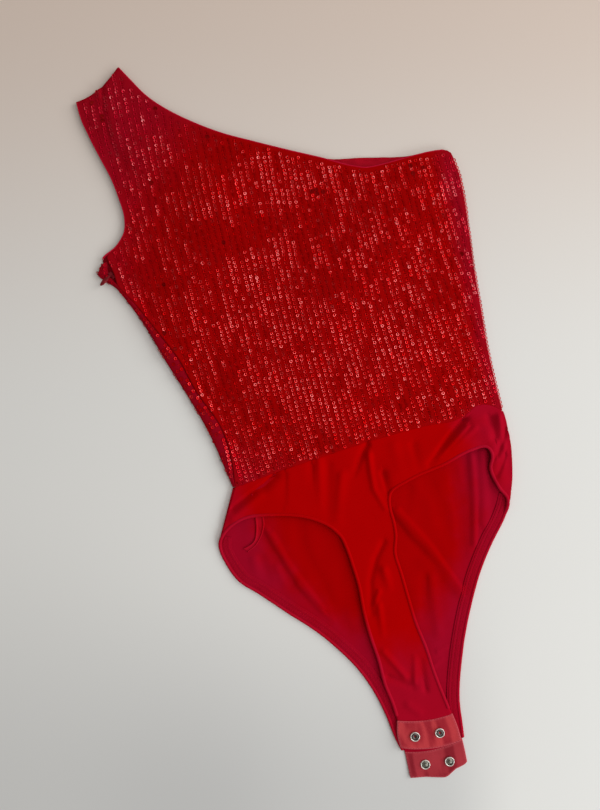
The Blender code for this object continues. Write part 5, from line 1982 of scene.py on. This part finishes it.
@dataclass
class Snaps:
    """The press snaps: two sockets above and two studs below, each turned about its own axis."""

    rim_radius: float = 4.25
    roll: float = 0.62
    roll_height: float = 0.64
    roll_rise: float = 0.6
    segments: int = 48
    socket: tuple[tuple[float, float], ...] = (
        (4.0, 0.04), (4.0, 0.34), (3.2, 0.30), (2.95, 0.72), (2.5, 0.92), (2.0, 0.86), (1.5, 0.50), (1.0, 0.30),
        (1.0, 0.04))
    stud: tuple[tuple[float, float], ...] = (
        (0.0, 2.2), (0.6, 2.16), (1.15, 2.0), (1.55, 1.7), (1.7, 1.35), (1.6, 1.05), (1.4, 0.85), (1.4, 0.5),
        (2.0, 0.36), (4.0, 0.34), (4.0, 0.04), (0.0, 0.04))

    def centre(self, node: str) -> tuple[float, float, float]:
        """The foot of a snap's axis."""
        low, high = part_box(node)
        return (low.x + high.x) / 2 / MM, (low.y + high.y) / 2 / MM, low.z / MM

    def add(self, kind: str, side: str, profile: Sequence[tuple[float, float]],
            skin: Skin) -> list[bpy.types.Object]:
        """Add a snap: a bright rolled rim round a darker middle.

        Args:
            kind: socket or stud.
            side: left or right.
            profile: the closed profile of its middle, as (radius, height).
            skin: the finish of its middle.

        Returns:
            The rim and the middle.
        """
        node = f"snap_{kind}_{side}"
        roll = [(self.rim_radius + self.roll * math.cos(a), self.roll_height + self.roll_rise * math.sin(a))
                for a in np.linspace(0.0, 2 * math.pi, 15)]
        rim = lathe(f"{kind}_{side}_rim", roll, self.centre(node), self.segments)
        middle = lathe(f"{kind}_{side}_middle", [*profile, profile[0]], self.centre(node), self.segments)
        return [add_piece(rim.name, rim, Skin.CHROME, node), add_piece(middle.name, middle, skin)]

    def pair(self, kind: str, profile: Sequence[tuple[float, float]], skin: Skin) -> list[bpy.types.Object]:
        """Add the left and the right snap of a kind, and return their pieces."""
        return [piece for side in ("left", "right") for piece in self.add(kind, side, profile, skin)]


def add_crotch() -> None:
    """Add both tapes with their snaps."""
    snaps = Snaps()
    sockets = snaps.pair("socket", snaps.socket, Skin.GUNMETAL)
    studs = snaps.pair("stud", snaps.stud, Skin.PEWTER)
    # painted shade: the back tape takes the darker twill
    back = SnapTape("tape_back", "back_snap_tape", BACK_TAPE, 1.43, 61, Skin.TWILL_SHADED, BACK_CUT, 1.2)
    back.add((0.028, 0.060), "brief_back", studs)
    front = SnapTape("tape_front", "front_snap_tape", FRONT_TAPE, 5.0, 67, Skin.TWILL)
    front.add((0.029, 0.060), "tape_back", sockets)


# ---- side zip

@dataclass
class SideZip:
    """The side zip: its tape inside the left seam, its coil, and the slider and pull in their own finish."""

    top: float = 184.0
    foot: float = -30.0
    outer: float = 1.4  # how far the tape reaches outside the seam, and inside it
    inner: float = 9.8
    wall: float = 0.6
    coil_inset: float = 1.2
    coil_pitch: float = 1.5
    coil_radius: float = 0.55
    coil_half: float = 1.3

    def add(self, bodice: Bodice) -> None:
        """Add the zip along the bodice's seam.

        Args:
            bodice: the bodice, for its pattern.
        """
        seam = bodice.rows[bodice.left_fold][:, [2, 1]]
        seam = seam[(seam[:, 1] <= self.top) & (seam[:, 1] >= self.foot)]
        plan = across(seam - (self.outer, 0.0), seam + (self.inner, 0.0), spaced(1.0, 0.07, 0.05, 0.05))
        height = BACK_TOP + 0.1 * ripple(plan[..., 0], plan[..., 1], 12.0, 71)
        tape = add_cloth("zip_strip", [np.dstack([plan, height])], self.wall, Skin.ZIP_CLOTH, "zip_tape")
        self.add_coil(seam)
        for node in ("zip_slider", "zip_pull_tab"):
            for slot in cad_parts[node].material_slots:
                slot.material = Skin.PAINTED.material()
            LOG.info("%s: painted", node)

    def add_coil(self, seam: Array) -> bpy.types.Object:
        """Add the coil's loops along the seam, each a half ring that grips the tape.

        A loop is a thin tube about the half ellipse (0, w cos a, h sin a).

        Args:
            seam: the seam's plan points.

        Returns:
            The coil's object.
        """
        places, heading = even_points(seam + (self.coil_inset, 0.0), self.coil_pitch)
        a = np.linspace(0.0, math.pi, 6)
        path = np.stack([np.zeros(6), self.coil_half * np.cos(a), self.coil_radius * 1.6 * np.sin(a)], axis=1)
        ring = np.linspace(0.0, 2 * math.pi, 5, endpoint=False)
        section = np.stack([np.tile(np.cos(ring), (6, 1)), np.outer(np.cos(a), np.sin(ring)),
                            np.outer(np.sin(a), np.sin(ring))], axis=-1)
        template = Template.wrapped(path[:, None, :] + self.coil_radius * 0.45 * section, False)
        axes = facing_axes(np.tile([0.0, 0.0, 1.0], (len(places), 1)), in_space(heading))
        mesh = template.repeated("zip_coil", in_space(places, BACK_TOP + 0.3), axes, np.full(len(places), 0.5))
        mesh.shade_smooth()
        return add_piece("zip_coil", mesh, Skin.COIL)


# ---- studio

@dataclass(frozen=True)
class SoftBox:
    """A flat light: its centre, what it faces, its sides, how bright its face is, and its colour."""

    name: str
    centre: Triple
    target: Triple
    size: tuple[float, float]
    brightness: float
    colour: Triple

    def add(self) -> None:
        """Add the light; its power is pi times its area times its brightness."""
        light = bpy.data.lights.new(self.name, "AREA")
        light.shape = "RECTANGLE"
        light.size, light.size_y = self.size
        light.energy = math.pi * self.size[0] * self.size[1] * self.brightness
        light.color = self.colour
        thing = bpy.data.objects.new(self.name, light)
        thing.location = self.centre
        thing.rotation_euler = (Vector(self.target) - Vector(self.centre)).to_track_quat("-Z", "Y").to_euler()
        bpy.context.scene.collection.objects.link(thing)


@dataclass
class Studio:
    """The floor, the lights and the camera that looks straight down, turned with the garment at an angle."""

    centre: tuple[float, float] = (-0.0319, 0.0112)
    turn: float = math.radians(-17.0)
    height: float = 0.633
    lens: float = 28.0
    floor_half: float = 3.0
    air: Triple = (1.0, 0.955, 0.92)
    air_strength: float = 0.37

    def at(self, right: float, up: float, z: float) -> Triple:
        """Point at a distance right and up of the view's centre, at a height."""
        c, s = math.cos(self.turn), math.sin(self.turn)
        return self.centre[0] + right * c - up * s, self.centre[1] + right * s + up * c, z

    def add(self) -> None:
        """Add floor, lights, world and camera."""
        line = np.linspace(-self.floor_half, self.floor_half, 41) / MM
        x, y = np.meshgrid(line, line, indexing="ij")
        mesh = cloth_mesh("floor", [np.dstack([x, y, np.zeros_like(x)])])
        floor = bpy.data.objects.new("floor", mesh)
        bpy.context.scene.collection.objects.link(floor)
        mesh.materials.append(PaleFloor().material("pale_floor"))
        middle = self.at(0.0, 0.0, 0.0)
        for box in (
            SoftBox("window", self.at(2.36, 0.68, 1.35), middle, (1.76, 1.62), 4.5, (1.0, 0.99, 0.98)),
            SoftBox("panel", self.at(0.62, 0.10, 1.43), middle, (0.45, 0.45), 5.0, (1.0, 0.98, 0.96)),
            SoftBox("door", self.at(1.10, -1.10, 0.95), self.at(0.0, -0.2, 0.0), (0.8, 0.7), 4.6, (0.9, 0.97, 1.0)),
        ):
            box.add()
        world = bpy.data.worlds.new("studio")
        world.use_nodes = True
        background = world.node_tree.nodes["Background"]
        background.inputs["Color"].default_value = (*self.air, 1.0)
        background.inputs["Strength"].default_value = self.air_strength
        bpy.context.scene.world = world
        bpy.context.scene.view_settings.view_transform = "Standard"
        self.add_camera()

    def add_camera(self) -> None:
        """Add the camera, level above the centre, with no shift."""
        data = bpy.data.cameras.new("camera")
        data.lens = self.lens
        data.sensor_width = 36.0
        data.clip_start = 0.01
        thing = bpy.data.objects.new("camera", data)
        thing.location = (*self.centre, self.height)
        thing.rotation_euler = (0.0, 0.0, self.turn)
        bpy.context.scene.collection.objects.link(thing)
        bpy.context.scene.camera = thing


def main() -> None:
    """Build the garment in order, then the studio, and write down how large it is."""
    logging.basicConfig(level=logging.INFO, format="%(name)s: %(message)s")
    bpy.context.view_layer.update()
    bodice = Bodice()
    bodice.add()
    Brief().add()
    add_crotch()
    SideZip().add(bodice)
    Studio().add()


if __name__ == "__main__":
    main()
